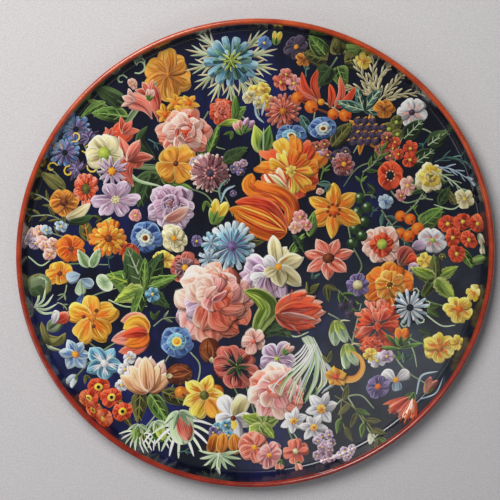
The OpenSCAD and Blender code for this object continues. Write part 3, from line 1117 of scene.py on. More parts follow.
# Upper left
piece("leaves_upper_left", leaf(-0.40, 0.36, 0.19, 215, "dark", 0.5),
    leaf(-0.79, 0.30, 0.13, 145, "olive", 0.45), leaf(-0.70, 0.08, 0.11, 100, "olive", 0.55, veins="amber"),
    each(leaf, (-0.66, 0.10, 0.10, 55, "lime", 0.4), (-0.60, 0.62, 0.11, 150, "green", 0.35),
        (-0.62, 0.66, 0.12, 195, "green", 0.3, 0.3), (-0.22, 0.42, 0.16, 100, "green", 0.3),
        (-0.20, 0.44, 0.14, 70, "green", 0.28)))
piece("olive_sprigs_left", sprig([(-0.80, 0.20), (-0.87, 0.26), (-0.93, 0.29)], 0.05, "olive", 6),
    sprig([(-0.78, 0.15), (-0.85, 0.19), (-0.94, 0.19)], 0.05, "olive", 6),
    sprig([(-0.80, 0.10), (-0.88, 0.12), (-0.95, 0.08)], 0.045, "olive", 5))
piece("orange_anemone",
    bloom(-0.364, 0.772, 0.104, "marigold", 6, 1.30, squash=0.95, core="amber", core_r=0.12, veins="amber",
        frill=0.07, edge=0.3, tone=0.35))
piece("leaves_by_trumpets", leaf(-0.53, 0.60, 0.15, 168, "green", 0.5, 0.1),
    leaf(-0.54, 0.65, 0.15, 148, "dark", 0.5),
    each(swath, ([(-0.42, 0.42), (-0.48, 0.50), (-0.45, 0.56)], 0.04, "dark"),
        ([(-0.40, 0.36), (-0.34, 0.31), (-0.27, 0.30)], 0.05, "green"), split=0.6),
    leaf(-0.44, 0.36, 0.15, 250, "dark", 0.6))
piece("honeysuckle_stem",
    stroke([(-0.41, 0.74), (-0.50, 0.62), (-0.60, 0.47), (-0.52, 0.40), (-0.38, 0.38)], 0.022, "stem",
        (0.5, 0.7)), stroke([(-0.56, 0.42), (-0.50, 0.34), (-0.40, 0.31)], 0.014, "mint", (0.6, 0.2)))
piece("trumpets_left",
    each(trumpet, ([(-0.405, 0.58), (-0.42, 0.66), (-0.455, 0.72)], 0.060, "coral", "salmon"),
        ([(-0.43, 0.59), (-0.46, 0.645), (-0.53, 0.675)], 0.055, "salmon", "blush"),
        ([(-0.585, 0.41), (-0.575, 0.50), (-0.53, 0.56)], 0.068, "red", "coral"),
        ([(-0.605, 0.45), (-0.615, 0.50), (-0.60, 0.54)], 0.038, "red", "coral"),
        ([(-0.51, 0.31), (-0.55, 0.39), (-0.505, 0.465)], 0.100, "coral", "salmon", 60)))
piece("curls_upper_left", curl(-0.50, 0.78, 0.035, 60, "mint"), curl(-0.46, 0.81, 0.03, 150, "mint"),
    curl(-0.53, 0.76, 0.025, 200, "mint"), bud(-0.44, 0.69, 0.026, 80, "blush"))
piece("cornflowers_left",
    *[carnation(px, py, 0.062, "blue", "violet", rings=2, core="ink", notch=0.3, edge=1.0)
        for px, py in ((-0.743, 0.55), (-0.79, 0.454))],
    *[carnation(px, py, 0.05, "purple", "violet", ang, spread, 2, 14, outline="point")
        for px, py, ang, spread in ((-0.69, 0.51, 110, 200), (-0.74, 0.38, 150, 240))])
piece("curls_left",
    *[curl(px, py, 0.026, ang, "yellow", 1.0, 0.007)
        for px, py, ang in ((-0.76, 0.50, 60), (-0.80, 0.47, 170), (-0.77, 0.40, 260), (-0.70, 0.40, 340),
            (-0.82, 0.40, 200), (-0.72, 0.46, 30))])
piece("cream_cup_left",
    bloom(-0.628, 0.449, 0.080, "cream", 5, 1.25, squash=0.9, lean=30, core="lime", core_r=0.36, frill=0.06,
        edge=1.0))
piece("mauve_daisy", daisy(-0.599, 0.375, 0.067, "lilac", "gold", 12))
piece("coral_aster_left",
    bloom(-0.706, 0.302, 0.074, "coral", 11, 1.25, squash=0.74, rings=2, inner="red", step=0.3,
        core="olive", core_r=0.3, dots="brown"))
piece("lilac_clematis",
    bloom(-0.585, 0.256, 0.095, "lilac", 6, 0.92, "round", core="cream", core_r=0.14, veins="mauve",
        dots="cream", frill=0.06))
piece("olive_pansy", bloom(-0.798, 0.247, 0.062, "amber", 5, 1.3, core="brown", core_r=0.28, veins="brown"))
piece("crescent_left", petal(-0.79, 0.18, 10, 0.11, 0.05, "cream", "oval", bend=0.35),
    petal(-0.78, 0.165, 355, 0.10, 0.035, "dark", "oval", bend=0.3))
piece("jonquils_upper",
    *[bloom(px, py, 0.047, "gold", 6, 0.85, "point", core="orange", core_r=0.3)
        for px, py in ((-0.377, 0.61), (-0.33, 0.655), (-0.28, 0.654), (-0.31, 0.61))])
piece("pink_rose_upper", rose(-0.295, 0.522, 0.112, "salmon", "blush", "red", 20))
piece("yellow_wallflower",
    bloom(-0.335, 0.405, 0.082, "gold", 4, 1.2, "round", turn=40, squash=1.0, core="brown", core_r=0.14,
        veins="amber", frill=0.06, edge=1.0, tone=0.7), cluster(-0.25, 0.40, 0.03, 0.02, 4, "lilac"))
piece("burgundy_scabious",
    carnation(-0.194, 0.365, 0.084, "blush", rings=1, many=30, width=0.16, core=None, notch=0.3),
    carnation(-0.194, 0.365, 0.076, "burgundy", rings=3, many=26, width=0.2, core="purple", edge=0.1),
    *[dab(*at(-0.194, 0.365, 36 * k, 0.022), 0.005, "pink") for k in range(10)])
piece("purples_upper", leaf(-0.14, 0.41, 0.12, 30, "dark", 0.5),
    cluster(-0.07, 0.385, 0.028, 0.018, 5, "violet", other="mauve"))

# Top
nigella_at = (-0.105, 0.828)
bract_tips = ((-15, 0.15), (-8, 0.175), (0, 0.195), (7, 0.17), (14, 0.14))
piece("nigella_bracts",
    *[swath([at(*nigella_at, a, 0.07), at(*nigella_at, a + side / 3, reach * 0.7),
                at(*nigella_at, a + side, reach)], 0.010, ("cream", "mint", "straw")[side % 3], n=4)
        for a in range(140, 420, 26) for side, reach in bract_tips])
piece("nigella", carnation(*nigella_at, 0.108, "sky", "teal", width=0.33, notch=0.34, edge=1.0),
    bloom(*nigella_at, 0.05, "lime", 11, 0.4, turn=110, core="dark", core_r=0.5, outline="point"),
    spikes(*nigella_at, 0.035, "lime", 7, 90, 360, 0.3))
piece("red_fruit", leaf(-0.12, 0.575, 0.10, 40, "green", 0.5),
    rose(-0.145, 0.619, 0.052, "red", "coral", "darkred"),
    petal(-0.11, 0.56, 62, 0.12, 0.035, "green", bend=0.3),
    petal(-0.16, 0.56, 20, 0.09, 0.03, "lime", bend=-0.2))
piece("bud_pair_top", bud(-0.075, 0.55, 0.032, 110, "pink"), bud(-0.04, 0.56, 0.034, 60, "mauve"))
piece("cream_cluster_top", cluster(0.007, 0.685, 0.045, 0.03, 6, "cream", other="yellow"),
    stroke([(-0.01, 0.65), (0.0, 0.60), (0.03, 0.57)], 0.01, "ice"),
    stroke([(0.03, 0.66), (0.02, 0.6)], 0.01, "ice"))
piece("coral_aster_top",
    carnation(0.107, 0.619, 0.074, "darkred", "coral", many=19, core="amber", width=0.24, edge=1.0))
piece("pink_pair_top", bloom(0.098, 0.737, 0.036, "coral"), bloom(0.152, 0.733, 0.034, "pink"),
    bloom(0.12, 0.77, 0.028, "salmon"))
piece("dull_pansy_top", bloom(0.161, 0.883, 0.052, "purple", 5, 1.3, core="gold", edge=0.9),
    bloom(0.193, 0.828, 0.035, "amber", core="brown"), bud(0.08, 0.92, 0.03, 80, "yellow"),
    bloom(0.03, 0.90, 0.03, "blue"))
piece("green_trefoil_top",
    *[leaf(0.31 + dx, 0.80 + dy, 0.105, a, tone, 0.75, outline="heart")
        for dx, dy, a, tone in ((-0.02, 0.03, 165, "olive"), (-0.03, 0.05, 130, "green"),
            (0.03, 0.05, 95, "olive"), (0.06, 0.05, 50, "green"), (0.05, 0.02, 10, "olive"),
            (0.02, 0.0, 290, "green"), (-0.01, 0.0, 235, "dark"))])
piece("yellow_small_top", bloom(0.438, 0.824, 0.037, "yellow", core="amber"))
piece("cream_fern",
    *[sprig(path, 0.050, "cream", 8, 0.21, "straw", 30, "strap")
        for path in ([(0.50, 0.65), (0.46, 0.72), (0.42, 0.79)],
            [(0.505, 0.65), (0.50, 0.74), (0.54, 0.80)], [(0.51, 0.65), (0.57, 0.68), (0.66, 0.69)],
            [(0.505, 0.66), (0.55, 0.71), (0.60, 0.77)], [(0.49, 0.66), (0.44, 0.70), (0.38, 0.71)],
            [(0.50, 0.66), (0.48, 0.74), (0.48, 0.82)])])
flames = ([(0.26, 0.66), (0.20, 0.71), (0.185, 0.78)], [(0.26, 0.66), (0.235, 0.73), (0.25, 0.79)],
    [(0.32, 0.63), (0.35, 0.69), (0.34, 0.76)], [(0.32, 0.63), (0.37, 0.66), (0.41, 0.72)],
    [(0.30, 0.63), (0.31, 0.68), (0.30, 0.73)], [(0.25, 0.66), (0.19, 0.68), (0.16, 0.73)])
piece("scarlet_lobelia",
    *[swath(path, 0.032, tone) for path, tone in zip(flames, ("red", "red", "coral") * 2)],
    dab(0.265, 0.655, 0.014, "gold"))
berry_twig = [(0.166, 0.673), (0.224, 0.636), (0.315, 0.604), (0.365, 0.60)]
piece("berry_twig", stem(berry_twig, 0.009, "brown"), berries(berry_twig, 0.026, "orange"))
piece("teal_leaves_top", rosette(0.44, 0.62, 0.12, "teal", 4, 80, 170, 0.4, veins="mint"))
piece("brown_trefoil", bloom(0.524, 0.623, 0.045, "amber", 3, 1.2, core="brown"))
piece("white_dahlia",
    bloom(0.641, 0.609, 0.068, "white", 5, 1.2, core="purple", core_r=0.2, veins="blush", frill=0.06))
piece("hops_top",
    *[bloom(px, py, 0.03, "olive", 5, 1.3, core="lime", core_r=0.3)
        for px, py in ((0.578, 0.568), (0.547, 0.54), (0.583, 0.518))])
BERRY_AT, BERRY_REACH = (0.447, 0.525), 0.07874
berry_rows = [(0.385 + 0.031 * (k % 5) + 0.012 * (k // 5 % 2), 0.575 - 0.029 * (k // 5)) for k in range(20)]
drupelets = [(px, py) for px, py in berry_rows if math.dist((px, py), BERRY_AT) < BERRY_REACH]
piece("blackberries_top",
    *[petal(0.447, 0.518, a, 0.085, 0.03, "amber", "point", bend=0.3) for a in range(0, 360, 60)],
    *[spot(px, py, 0.0165, "purple") + petal(px - 0.006, py + 0.011, 20, 0.016, 0.006, "gold", "oval", n=4)
        for px, py in drupelets])
piece("dark_leaves_upper", leaf(0.31, 0.47, 0.13, 50, "olive", 0.5),
    each(leaf, (0.61, 0.50, 0.11, 45, "dark", 0.6), (0.71, 0.47, 0.11, 35, "dark", 0.6),
        (0.65, 0.39, 0.11, 35, "dark", 0.6), veins="mint"), leaf(0.18, 0.60, 0.09, 300, "teal", 0.4))
piece("morning_glories_top", glory(0.143, 0.517, 0.066, "blue", "sky", squash=0.72, lean=80),
    glory(0.274, 0.545, 0.058, "blue", "ice", squash=0.8, lean=90))
piece("heart_leaf_top", petal(0.026, 0.45, 108, 0.12, 0.075, "lime", "heart"),
    petal(0.026, 0.45, 76, 0.115, 0.06, "green", "heart"),
    stroke([(0.026, 0.45), (0.028, 0.55)], 0.007, "mint"))

# Upper middle and right
piece("small_pinks_middle", cluster(0.261, 0.455, 0.042, 0.024, 6, "mauve", other="darkred"),
    cluster(0.35, 0.425, 0.035, 0.022, 5, "purple"))
ray_tones = ("orange", "red", "orange", "gold", "red")
piece("poppy_tulip",
    *[petal(0.145, 0.365, 20 + 29 * k, 0.135 * (1.08 if 20 + 29 * k < 200 else 0.85), 0.066,
            ray_tones[k % 5], "fan", notch=0.10, frill=0.10, bend=0.1, edge=0.8, n=9) for k in range(13)],
    *[petal(0.14, 0.368, 5 + 40 * k, 0.095, 0.052, ("gold", "orange", "orange", "yellow")[k % 4], "fan",
            notch=0.08, frill=0.1, bend=-0.12, edge=0.9, n=8) for k in range(9)],
    *[stroke([at(0.14, 0.368, 33 * k, 0.02), at(0.14, 0.368, 33 * k + 5, 0.075)], 0.007, "red")
        for k in range(11)], bloom(0.14, 0.37, 0.028, "yellow", 6, 1.0, "flame", core="lime"),
    petal(0.115, 0.275, 118, 0.11, 0.055, "peach", "flame", bend=-0.25, edge=1.0),
    petal(0.13, 0.27, 128, 0.13, 0.05, "cream", "flame", bend=0.2, edge=1.0),
    stroke([(0.12, 0.28), (0.07, 0.32), (0.03, 0.37)], 0.012, "red"),
    stroke([(0.135, 0.29), (0.10, 0.34), (0.04, 0.385)], 0.008, "coral"))
piece("dark_red_flower",
    bloom(0.361, 0.395, 0.052, "burgundy", 6, 1.2, rings=2, inner="darkred", core="gold"))
piece("reds_upper_right", cluster(0.551, 0.458, 0.05, 0.026, 7, "darkred", other="red"),
    bloom(0.637, 0.458, 0.034, "red"), bloom(0.637, 0.410, 0.034, "red"),
    sprig([(0.44, 0.36), (0.49, 0.40), (0.52, 0.45)], 0.05, "green", 6))
piece("red_poppy", bloom(0.555, 0.345, 0.062, "red", 4, 1.3, turn=50, core="ink", core_r=0.3, dots="cream"))
piece("pale_pinks_right", bloom(0.628, 0.302, 0.04, "blush"), bloom(0.60, 0.26, 0.028, "pink"),
    bloom(0.537, 0.235, 0.034, "ice", core="blue"))
piece("cream_thistle", spikes(0.72, 0.29, 0.08, "dark", 7, 90, 200, 0.3),
    rose(0.72, 0.335, 0.062, "cream", "yellow", "olive"))
piece("strands_right",
    *[sprig([foot, mid, tip], 0.05, tone, 6, 0.12, tone, 30, "strap")
        for foot, mid, tip, tone in (((0.74, 0.40), (0.80, 0.42), (0.87, 0.40), "teal"),
            ((0.75, 0.38), (0.81, 0.37), (0.88, 0.33), "ice"),
            ((0.74, 0.36), (0.80, 0.33), (0.86, 0.28), "mint"))])
piece("cream_small_right", bloom(0.867, 0.243, 0.045, "cream"), leaf(0.83, 0.22, 0.08, 120, "olive", 0.4),
    leaf(0.69, 0.13, 0.12, 40, "green", 0.75, outline="heart"), leaf(0.76, 0.22, 0.09, 60, "dark", 0.5))
phlox = ((0.80, 0.137), (0.863, 0.146), (0.926, 0.137), (0.822, 0.078), (0.89, 0.068), (0.84, 0.009))
piece("phlox_right", leaf(0.90, -0.03, 0.08, 20, "green", 0.5), leaf(0.86, 0.03, 0.10, 300, "green", 0.4),
    *[bloom(px, py, 0.040, "red", 5, 1.3, turn=40 * px, core="yellow", core_r=0.22) for px, py in phlox])
piece("cream_bells_right", bud(0.945, 0.073, 0.026, 300, "cream"), bud(0.955, 0.03, 0.024, 280, "cream"))
orange_berries = ((0.60, 0.173), (0.641, 0.159), (0.673, 0.118), (0.601, 0.10), (0.637, 0.087))
piece("orange_berries_right", sprig([(0.52, 0.20), (0.56, 0.14), (0.62, 0.06)], 0.06, "teal", 6),
    berries(orange_berries, 0.024, "orange"))
piece("pink_eyed_flower",
    bloom(0.524, 0.054, 0.085, "blush", 7, 1.4, rings=2, inner="red", step=0.38, core="lime", core_r=0.26,
        frill=0.04))
piece("green_berries",
    *[spot(px, py, 0.024, "dark") + dab(px - 0.007, py + 0.009, 0.007, "mint")
        for px, py in ((0.43, 0.25), (0.46, 0.21), (0.42, 0.19), (0.45, 0.15), (0.41, 0.12), (0.44, 0.09),
            (0.40, 0.06))])
piece("white_cress", bloom(0.737, 0.068, 0.062, "white", 4, 1.2, turn=45, core="lime", veins="pink"))
piece("sweet_peas_right", petal(0.60, -0.04, 60, 0.09, 0.09, "darkred", "wide"),
    petal(0.62, -0.03, 20, 0.06, 0.06, "red"), bloom(0.704, -0.018, 0.038, "yellow", 4),
    petal(0.65, 0.04, 10, 0.06, 0.05, "lilac", "wide"), petal(0.64, -0.07, 40, 0.05, 0.05, "lilac", "wide"))
piece("yellow_lily",
    bloom(0.32, 0.20, 0.122, "gold", 6, 0.74, "flame", 30, core="orange", core_r=0.18, veins="orange",
        dots="brown", edge=0.7))
piece("pink_star",
    bloom(0.30, -0.003, 0.108, "salmon", 7, 0.90, "point", 10, core="brown", core_r=0.24, veins="coral",
        edge=1.0))
piece("leaves_middle",
    each(leaf, (0.14, 0.0, 0.12, 60, "green", 0.4), (0.20, 0.02, 0.10, 120, "dark", 0.35),
        (-0.05, 0.06, 0.17, 30, "olive", 0.4), (0.22, 0.09, 0.11, 80, "green", 0.4),
        (0.03, -0.27, 0.14, 330, "dark", 0.45)))
tulip_back = (([(0.125, 0.13), (0.145, 0.21), (0.095, 0.265), (0.02, 0.285), (-0.03, 0.31), (-0.018, 0.36)],
        0.085, "orange"),)
tulip_front = (([(0.125, 0.12), (0.06, 0.20), (-0.01, 0.232), (-0.090, 0.240)], 0.075, "red"),
    ([(0.125, 0.11), (0.06, 0.11), (-0.02, 0.145), (-0.095, 0.185)], 0.080, "orange"),
    ([(0.125, 0.115), (0.05, 0.155), (-0.03, 0.19), (-0.118, 0.212)], 0.080, "orange"))
piece("orange_tulip", *[swath(path, wide, tone, "oval", 1.0, 0.4, 10) for path, wide, tone in tulip_back],
    *[stroke([(0.13, 0.15), (0.135 - 0.012 * k, 0.215), (0.085 - 0.01 * k, 0.26), (0.01, 0.285),
                (-0.03, 0.325)], 0.008, tone, (0.8, 0.2), level=1)
        for k, tone in enumerate(("red", "gold", "red"))],
    *[swath(path, wide, tone, edge=1.0, tone=0.4, n=10) for path, wide, tone in tulip_front],
    *[stroke([(0.12, 0.118), (0.05, 0.115 + 0.02 * k), (-0.02, 0.145 + 0.02 * k),
                (-0.08, 0.183 + 0.014 * k)], 0.007, tone, (0.8, 0.2), level=lv)
        for k, (tone, lv) in enumerate((("red", 0), ("gold", 2), ("red", 0), ("gold", 2), ("red", 0)))])
piece("small_pinks_centre", bloom(0.18, 0.175, 0.034, "pink"), bloom(0.16, 0.13, 0.03, "blush"),
    bloom(0.205, 0.14, 0.026, "pink"))
piece("yellow_rosebud", bud(-0.164, 0.20, 0.056, 70, "yellow"),
    stroke([(-0.15, 0.24), (-0.13, 0.29), (-0.09, 0.31)], 0.009, "ice"),
    stroke([(-0.15, 0.25), (-0.155, 0.30), (-0.12, 0.34)], 0.009, "teal", level=2))

# Middle and left
piece("lilac_rose", rose(-0.355, 0.225, 0.10, "lilac", "mauve", "burgundy", 40),
    petal(-0.385, 0.17, 5, 0.11, 0.05, "blush", "oval", bend=0.35, edge=1.0))
piece("cream_flower_middle", bloom(-0.345, 0.09, 0.065, "cream", 6, 1.3, rings=2, core="gold"))
piece("pale_cornflower",
    carnation(-0.105, 0.054, 0.108, "ice", "sky", rings=2, many=19, core="violet", width=0.23, notch=0.38,
        edge=1.0),
    *[stroke([at(-0.105, 0.054, a, 0.02), at(-0.105, 0.054, a, 0.07)], 0.006, "violet")
        for a in range(0, 360, 30)],
    each(carnation, (-0.19, 0.07, 0.045, "sky", "ice"), (-0.20, 0.0, 0.045, "ice"), rings=2, many=9))
piece("morning_glory_middle", glory(-0.464, 0.092, 0.065, "blue"))
piece("calendula", carnation(-0.617, 0.092, 0.08, "orange", "gold", rings=3, many=15, core="brown"))
piece("small_tulip", cup(-0.527, 0.03, 0.048, 250, "red", "orange", 4, 90))
piece("yellow_oval", bloom(-0.387, 0.0, 0.05, "yellow", 6, 1.3, squash=0.7, lean=60, core="amber"))
piece("dark_red_middle",
    bloom(-0.30, -0.033, 0.068, "darkred", 6, 1.3, rings=2, inner="burgundy", core="gold"))
piece("cream_iris",
    *[petal(0.045, -0.075, a, 0.11, 0.105, tone, "wide", frill=0.10, edge=1.0, n=10)
        for a, tone in ((175, "mauve"), (215, "lilac"), (255, "mauve"), (295, "lilac"), (140, "lilac"))],
    *[petal(0.045, -0.075, a, 0.072, 0.065, tone, "wide", frill=0.10, edge=1.0, n=8)
        for a, tone in ((160, "lilac"), (200, "white"), (245, "lilac"), (290, "mauve"))],
    *[petal(0.085, -0.035, a, long, 0.068, tone, "flame", frill=0.04, edge=1.0, n=9)
        for a, long, tone in ((62, 0.09, "straw"), (98, 0.135, "cream"), (20, 0.115, "cream"),
            (322, 0.13, "cream"), (282, 0.09, "straw"))],
    petal(0.085, -0.04, 140, 0.07, 0.045, "white", "wide"),
    petal(0.085, -0.04, 210, 0.06, 0.045, "cream", "wide"), spot(0.09, -0.035, 0.015, "gold"),
    stroke([(0.10, -0.02), (0.13, 0.005)], 0.007, "amber"))
peony_skirt = ((200, 0.160, 0.15, "mauve"), (236, 0.178, 0.17, "pink"), (275, 0.176, 0.18, "salmon"),
    (316, 0.176, 0.17, "coral"), (355, 0.165, 0.17, "salmon"), (32, 0.160, 0.16, "pink"),
    (72, 0.165, 0.17, "salmon"), (112, 0.165, 0.16, "blush"), (155, 0.16, 0.16, "blush"))
peony_folds = ((205, 0.130, "lilac"), (250, 0.135, "salmon"), (300, 0.135, "coral"), (350, 0.13, "salmon"),
    (35, 0.125, "pink"), (85, 0.12, "salmon"), (140, 0.12, "blush"))
peony_heart = ((10, 0.080, "salmon"), (80, 0.080, "pink"), (135, 0.085, "blush"), (190, 0.080, "blush"),
    (250, 0.075, "pink"), (310, 0.075, "coral"))
piece("pink_peony",
    *[petal(-0.185, -0.18, a, long, wide, c, "wide", frill=0.12, notch=0.05, edge=1.0, n=12, tone=0.4)
        for a, long, wide, c in peony_skirt],
    *[petal(-0.180, -0.168, a, long, 0.13, c, "wide", frill=0.08, edge=1.0, n=10, tone=0.4)
        for a, long, c in peony_folds], spot(-0.176, -0.150, 0.060, "red", lobes=5, lobe=0.08, n=8),
    *[petal(-0.178, -0.148, a, long, 0.085, c, "wide", frill=0.07, edge=1.0, n=9, tone=0.3)
        for a, long, c in peony_heart], spot(-0.195, -0.140, 0.030, "blush", n=7),
    petal(-0.165, -0.165, 15, 0.055, 0.035, "red", "oval", bend=0.4),
    petal(-0.215, -0.165, 70, 0.065, 0.03, "blush", "oval", bend=-0.4, edge=1.0),
    petal(-0.190, -0.175, 10, 0.07, 0.030, "pink", "oval", bend=0.4, edge=1.0))
piece("leaves_by_peony", leaf(0.0, -0.325, 0.16, 8, "dark", 0.35, 0.1),
    swath([(-0.01, -0.34), (0.02, -0.27), (0.05, -0.21), (0.01, -0.16), (-0.055, -0.135)], 0.085, "lime",
        split=0.9, tone=0.8),
    stroke([(-0.005, -0.34), (0.03, -0.27), (0.04, -0.20), (-0.03, -0.145)], 0.006, "green"))
piece("coral_tulip", cup(0.17, -0.225, 0.115, 8, "red", "salmon", 6, 80, deep="darkred", veins="darkred"),
    petal(0.10, -0.235, 355, 0.15, 0.022, "blush", "point", bend=-0.1))
piece("pink_clusters_left", cluster(-0.92, 0.10, 0.04, 0.028, 6, "lilac", other="blush"),
    cluster(-0.862, 0.05, 0.03, 0.026, 4, "blush"), bloom(-0.87, 0.13, 0.026, "ice"),
    bloom(-0.81, 0.145, 0.028, "ice"))
piece("orange_cress_left", bloom(-0.771, 0.05, 0.06, "orange", 4, 1.25, turn=45, core="brown", veins="red"),
    bloom(-0.82, -0.055, 0.058, "gold", 4, 1.25, turn=20, core="brown", veins="orange"))
piece("pale_leaves_left",
    each(leaf, (-0.70, -0.03, 0.09, 120, "mint", 0.5), (-0.69, -0.03, 0.09, 65, "mint", 0.5),
        veins="green"), spot(-0.635, -0.097, 0.042, "mint", 0.7, 40, hollow=True, n=8),
    each(petal, (-0.735, -0.06, 200, 0.06, 0.05, "ice"), (-0.735, -0.08, 270, 0.07, 0.05, "mint"),
        (-0.735, -0.08, 330, 0.06, 0.045, "ice"), (-0.725, -0.14, 250, 0.05, 0.03, "blue")))
piece("green_globe", spot(-0.906, -0.106, 0.052, "stem", n=8), spot(-0.900, -0.100, 0.030, "mint", n=6),
    each(stroke, ([(-0.945, -0.135), (-0.948, -0.08), (-0.90, -0.055)], 0.016, "olive", (0.3, 0.3)),
        ([(-0.92, -0.150), (-0.875, -0.130), (-0.868, -0.085)], 0.016, "olive", (0.3, 0.3)), level=2),
    stroke([(-0.925, -0.12), (-0.925, -0.085), (-0.895, -0.075)], 0.008, "olive", (0.3, 0.3)),
    dab(-0.895, -0.105, 0.012, "olive"))
rosette_leaves = ((0.17, 160, "green", 0.6, 6, "lime"), (0.19, 112, "dark", 0.6, 6, "stem"),
    (0.17, 62, "dark", 0.6, 6, "own"), (0.15, 20, "green", 0.4, 4, "own"),
    (0.14, 205, "lime", 0.5, 4, "green"), (0.15, 250, "green", 0.45, 5, "own"),
    (0.14, 320, "dark", 0.45, 4, "own"), (0.13, 88, "green", 0.35, 4, "own"))
piece("leaf_rosette",
    *[leaf(-0.47, -0.12, long, ang, tone, wide, teeth=teeth, veins=veins)
        for long, ang, tone, wide, teeth, veins in rosette_leaves], bloom(-0.436, -0.147, 0.035, "sky"))
piece("yellow_buttercup_left",
    bloom(-0.689, -0.247, 0.104, "gold", 5, 0.98, turn=18, squash=1.0, core="amber", core_r=0.16,
        veins="orange", frill=0.08, edge=1.0),
    *[dab(*at(-0.689, -0.247, a, 0.036), 0.009, "brown") for a in (60, 170, 280)])
piece("poppy_bud_left",
    swath([(-0.90, -0.26), (-0.885, -0.33), (-0.83, -0.345), (-0.80, -0.31)], 0.045, "olive", split=0.5),
    swath([(-0.90, -0.31), (-0.87, -0.37), (-0.81, -0.39)], 0.018, "stem"),
    petal(-0.875, -0.30, 40, 0.085, 0.055, "stem", "oval"),
    petal(-0.845, -0.265, 30, 0.07, 0.055, "coral", "wide"),
    petal(-0.85, -0.27, 75, 0.06, 0.035, "white", "wide"),
    *[swath([(-0.93, -0.20), at(-0.93, -0.20, a, 0.05), at(-0.93, -0.20, a + 20, 0.10)], 0.010, "mint", n=4)
        for a in (330, 350, 15, 40, 65)])
side_base = (-0.455, -0.315)
side_petals = (((-0.50, -0.255), (-0.57, -0.262), 0.065, "salmon"),
    ((-0.50, -0.375), (-0.58, -0.395), 0.060, "coral"), ((-0.53, -0.33), (-0.61, -0.345), 0.075, "salmon"),
    ((-0.50, -0.275), (-0.56, -0.295), 0.085, "gold"), ((-0.49, -0.345), (-0.555, -0.365), 0.070, "orange"),
    ((-0.50, -0.31), (-0.57, -0.325), 0.050, "red"))
piece("side_rose_left",
    *[swath([side_base, mid, tip], wide, tone, edge=1.0, tone=0.4, n=9)
        for mid, tip, wide, tone in side_petals])
piece("morning_glory_lower", glory(-0.336, -0.354, 0.07, "blue", "sky", "gold", throat="yellow"))

# Lower left
piece("white_star_left", bloom(-0.762, -0.402, 0.072, "ice", 6, 1.0, "point", core="gold", veins="blue"),
    bud(-0.78, -0.518, 0.034, 230, "ice"))
piece("blue_bell_star",
    bloom(-0.64, -0.444, 0.088, "sky", 5, 1.0, "point", 60, core="white", veins="white", edge=0.9))
piece("tiny_whites",
    *[bloom(px, py, 0.03, "white")
        for px, py in ((-0.535, -0.42), (-0.555, -0.47), (-0.57, -0.54), (-0.53, -0.50))])
primroses = ((-0.667, -0.546), (-0.613, -0.592), (-0.712, -0.596), (-0.567, -0.655), (-0.653, -0.687),
    (-0.70, -0.65))
piece("primroses_left", *[leaf(px, py, 0.08, 200 + 400 * py, "olive", 0.4) for px, py in primroses[1:4]],
    *[bloom(px, py, 0.046, "red", 5, 1.4, turn=90 * px, core="yellow", core_r=0.4) + dab(px, py, 0.008,
            "ink") for px, py in primroses])
piece("olive_leaves_lower", leaf(-0.49, -0.56, 0.15, 265, "olive", 0.5),
    leaf(-0.45, -0.58, 0.15, 300, "green", 0.5), leaf(-0.40, -0.57, 0.14, 335, "olive", 0.5))
piece("peach_lotus", cup(-0.463, -0.50, 0.088, 95, "peach", "blush", 6, 130, "flame", 0.46))
for name, hx, hy, size, way, inside in (("husk_left", -0.504, -0.765, 0.052, 262, "lime"),
                                        ("husk_middle", -0.414, -0.748, 0.050, 285, "lime"),
                                        ("white_rosebud", -0.318, -0.735, 0.078, 278, "salmon")):
    base_x, base_y = at(hx, hy, way + 180, size)
    piece(name,
        *[stroke([at(base_x, base_y, way, size * 0.6), at(hx, hy, way + side, size * 0.95),
                    at(hx, hy, way + side * 0.8, size * 1.7)], size * 0.15, "white" if k % 2 else "mint",
                (0.9, 0.2), level=2)
            for k, side in enumerate((-110, -85, -62, -40, -18, 18, 40, 62, 85, 110))],
        petal(base_x, base_y, way, size * 1.9, size * 1.35, "mint" if inside == "salmon" else "green",
            "oval", n=8),
        petal(base_x, base_y, way + 8, size * 1.75, size * 0.95, inside, "oval", edge=1.0, n=7),
        *[petal(base_x, base_y, way + side, size * 1.1, size * 0.3, "mint", "leaf", bend=-side / 200, n=5)
            for side in (-75, -35, 35, 75)])
chestnuts = (("chestnut_right", -0.196, -0.395, 0.056, 100), ("chestnut_left", -0.327, -0.495, 0.056, 10))
for name, nx, ny, size, lean in chestnuts:
    piece(name, spot(nx, ny, size, "brown", 0.82, lean + 90, n=9),
        *[stroke([at(nx, ny, lean, -size * 0.92), at(nx, ny, lean + 90, side * size * 0.62),
                    at(nx, ny, lean, size * 0.92)], size * 0.1, "brown", (0.3, 0.3), level=lv)
            for side, lv in ((-0.9, 0), (-0.3, 2), (0.35, 0), (0.95, 2))],
        petal(*at(nx, ny, lean, -size), lean, size * 0.5, size * 0.4, "straw", "point"))
piece("brown_berries", stem([(-0.36, -0.60), (-0.27, -0.54), (-0.17, -0.55)], 0.008, "brown"),
    berries([(-0.32, -0.575), (-0.27, -0.56), (-0.17, -0.575)], 0.03, "amber"))

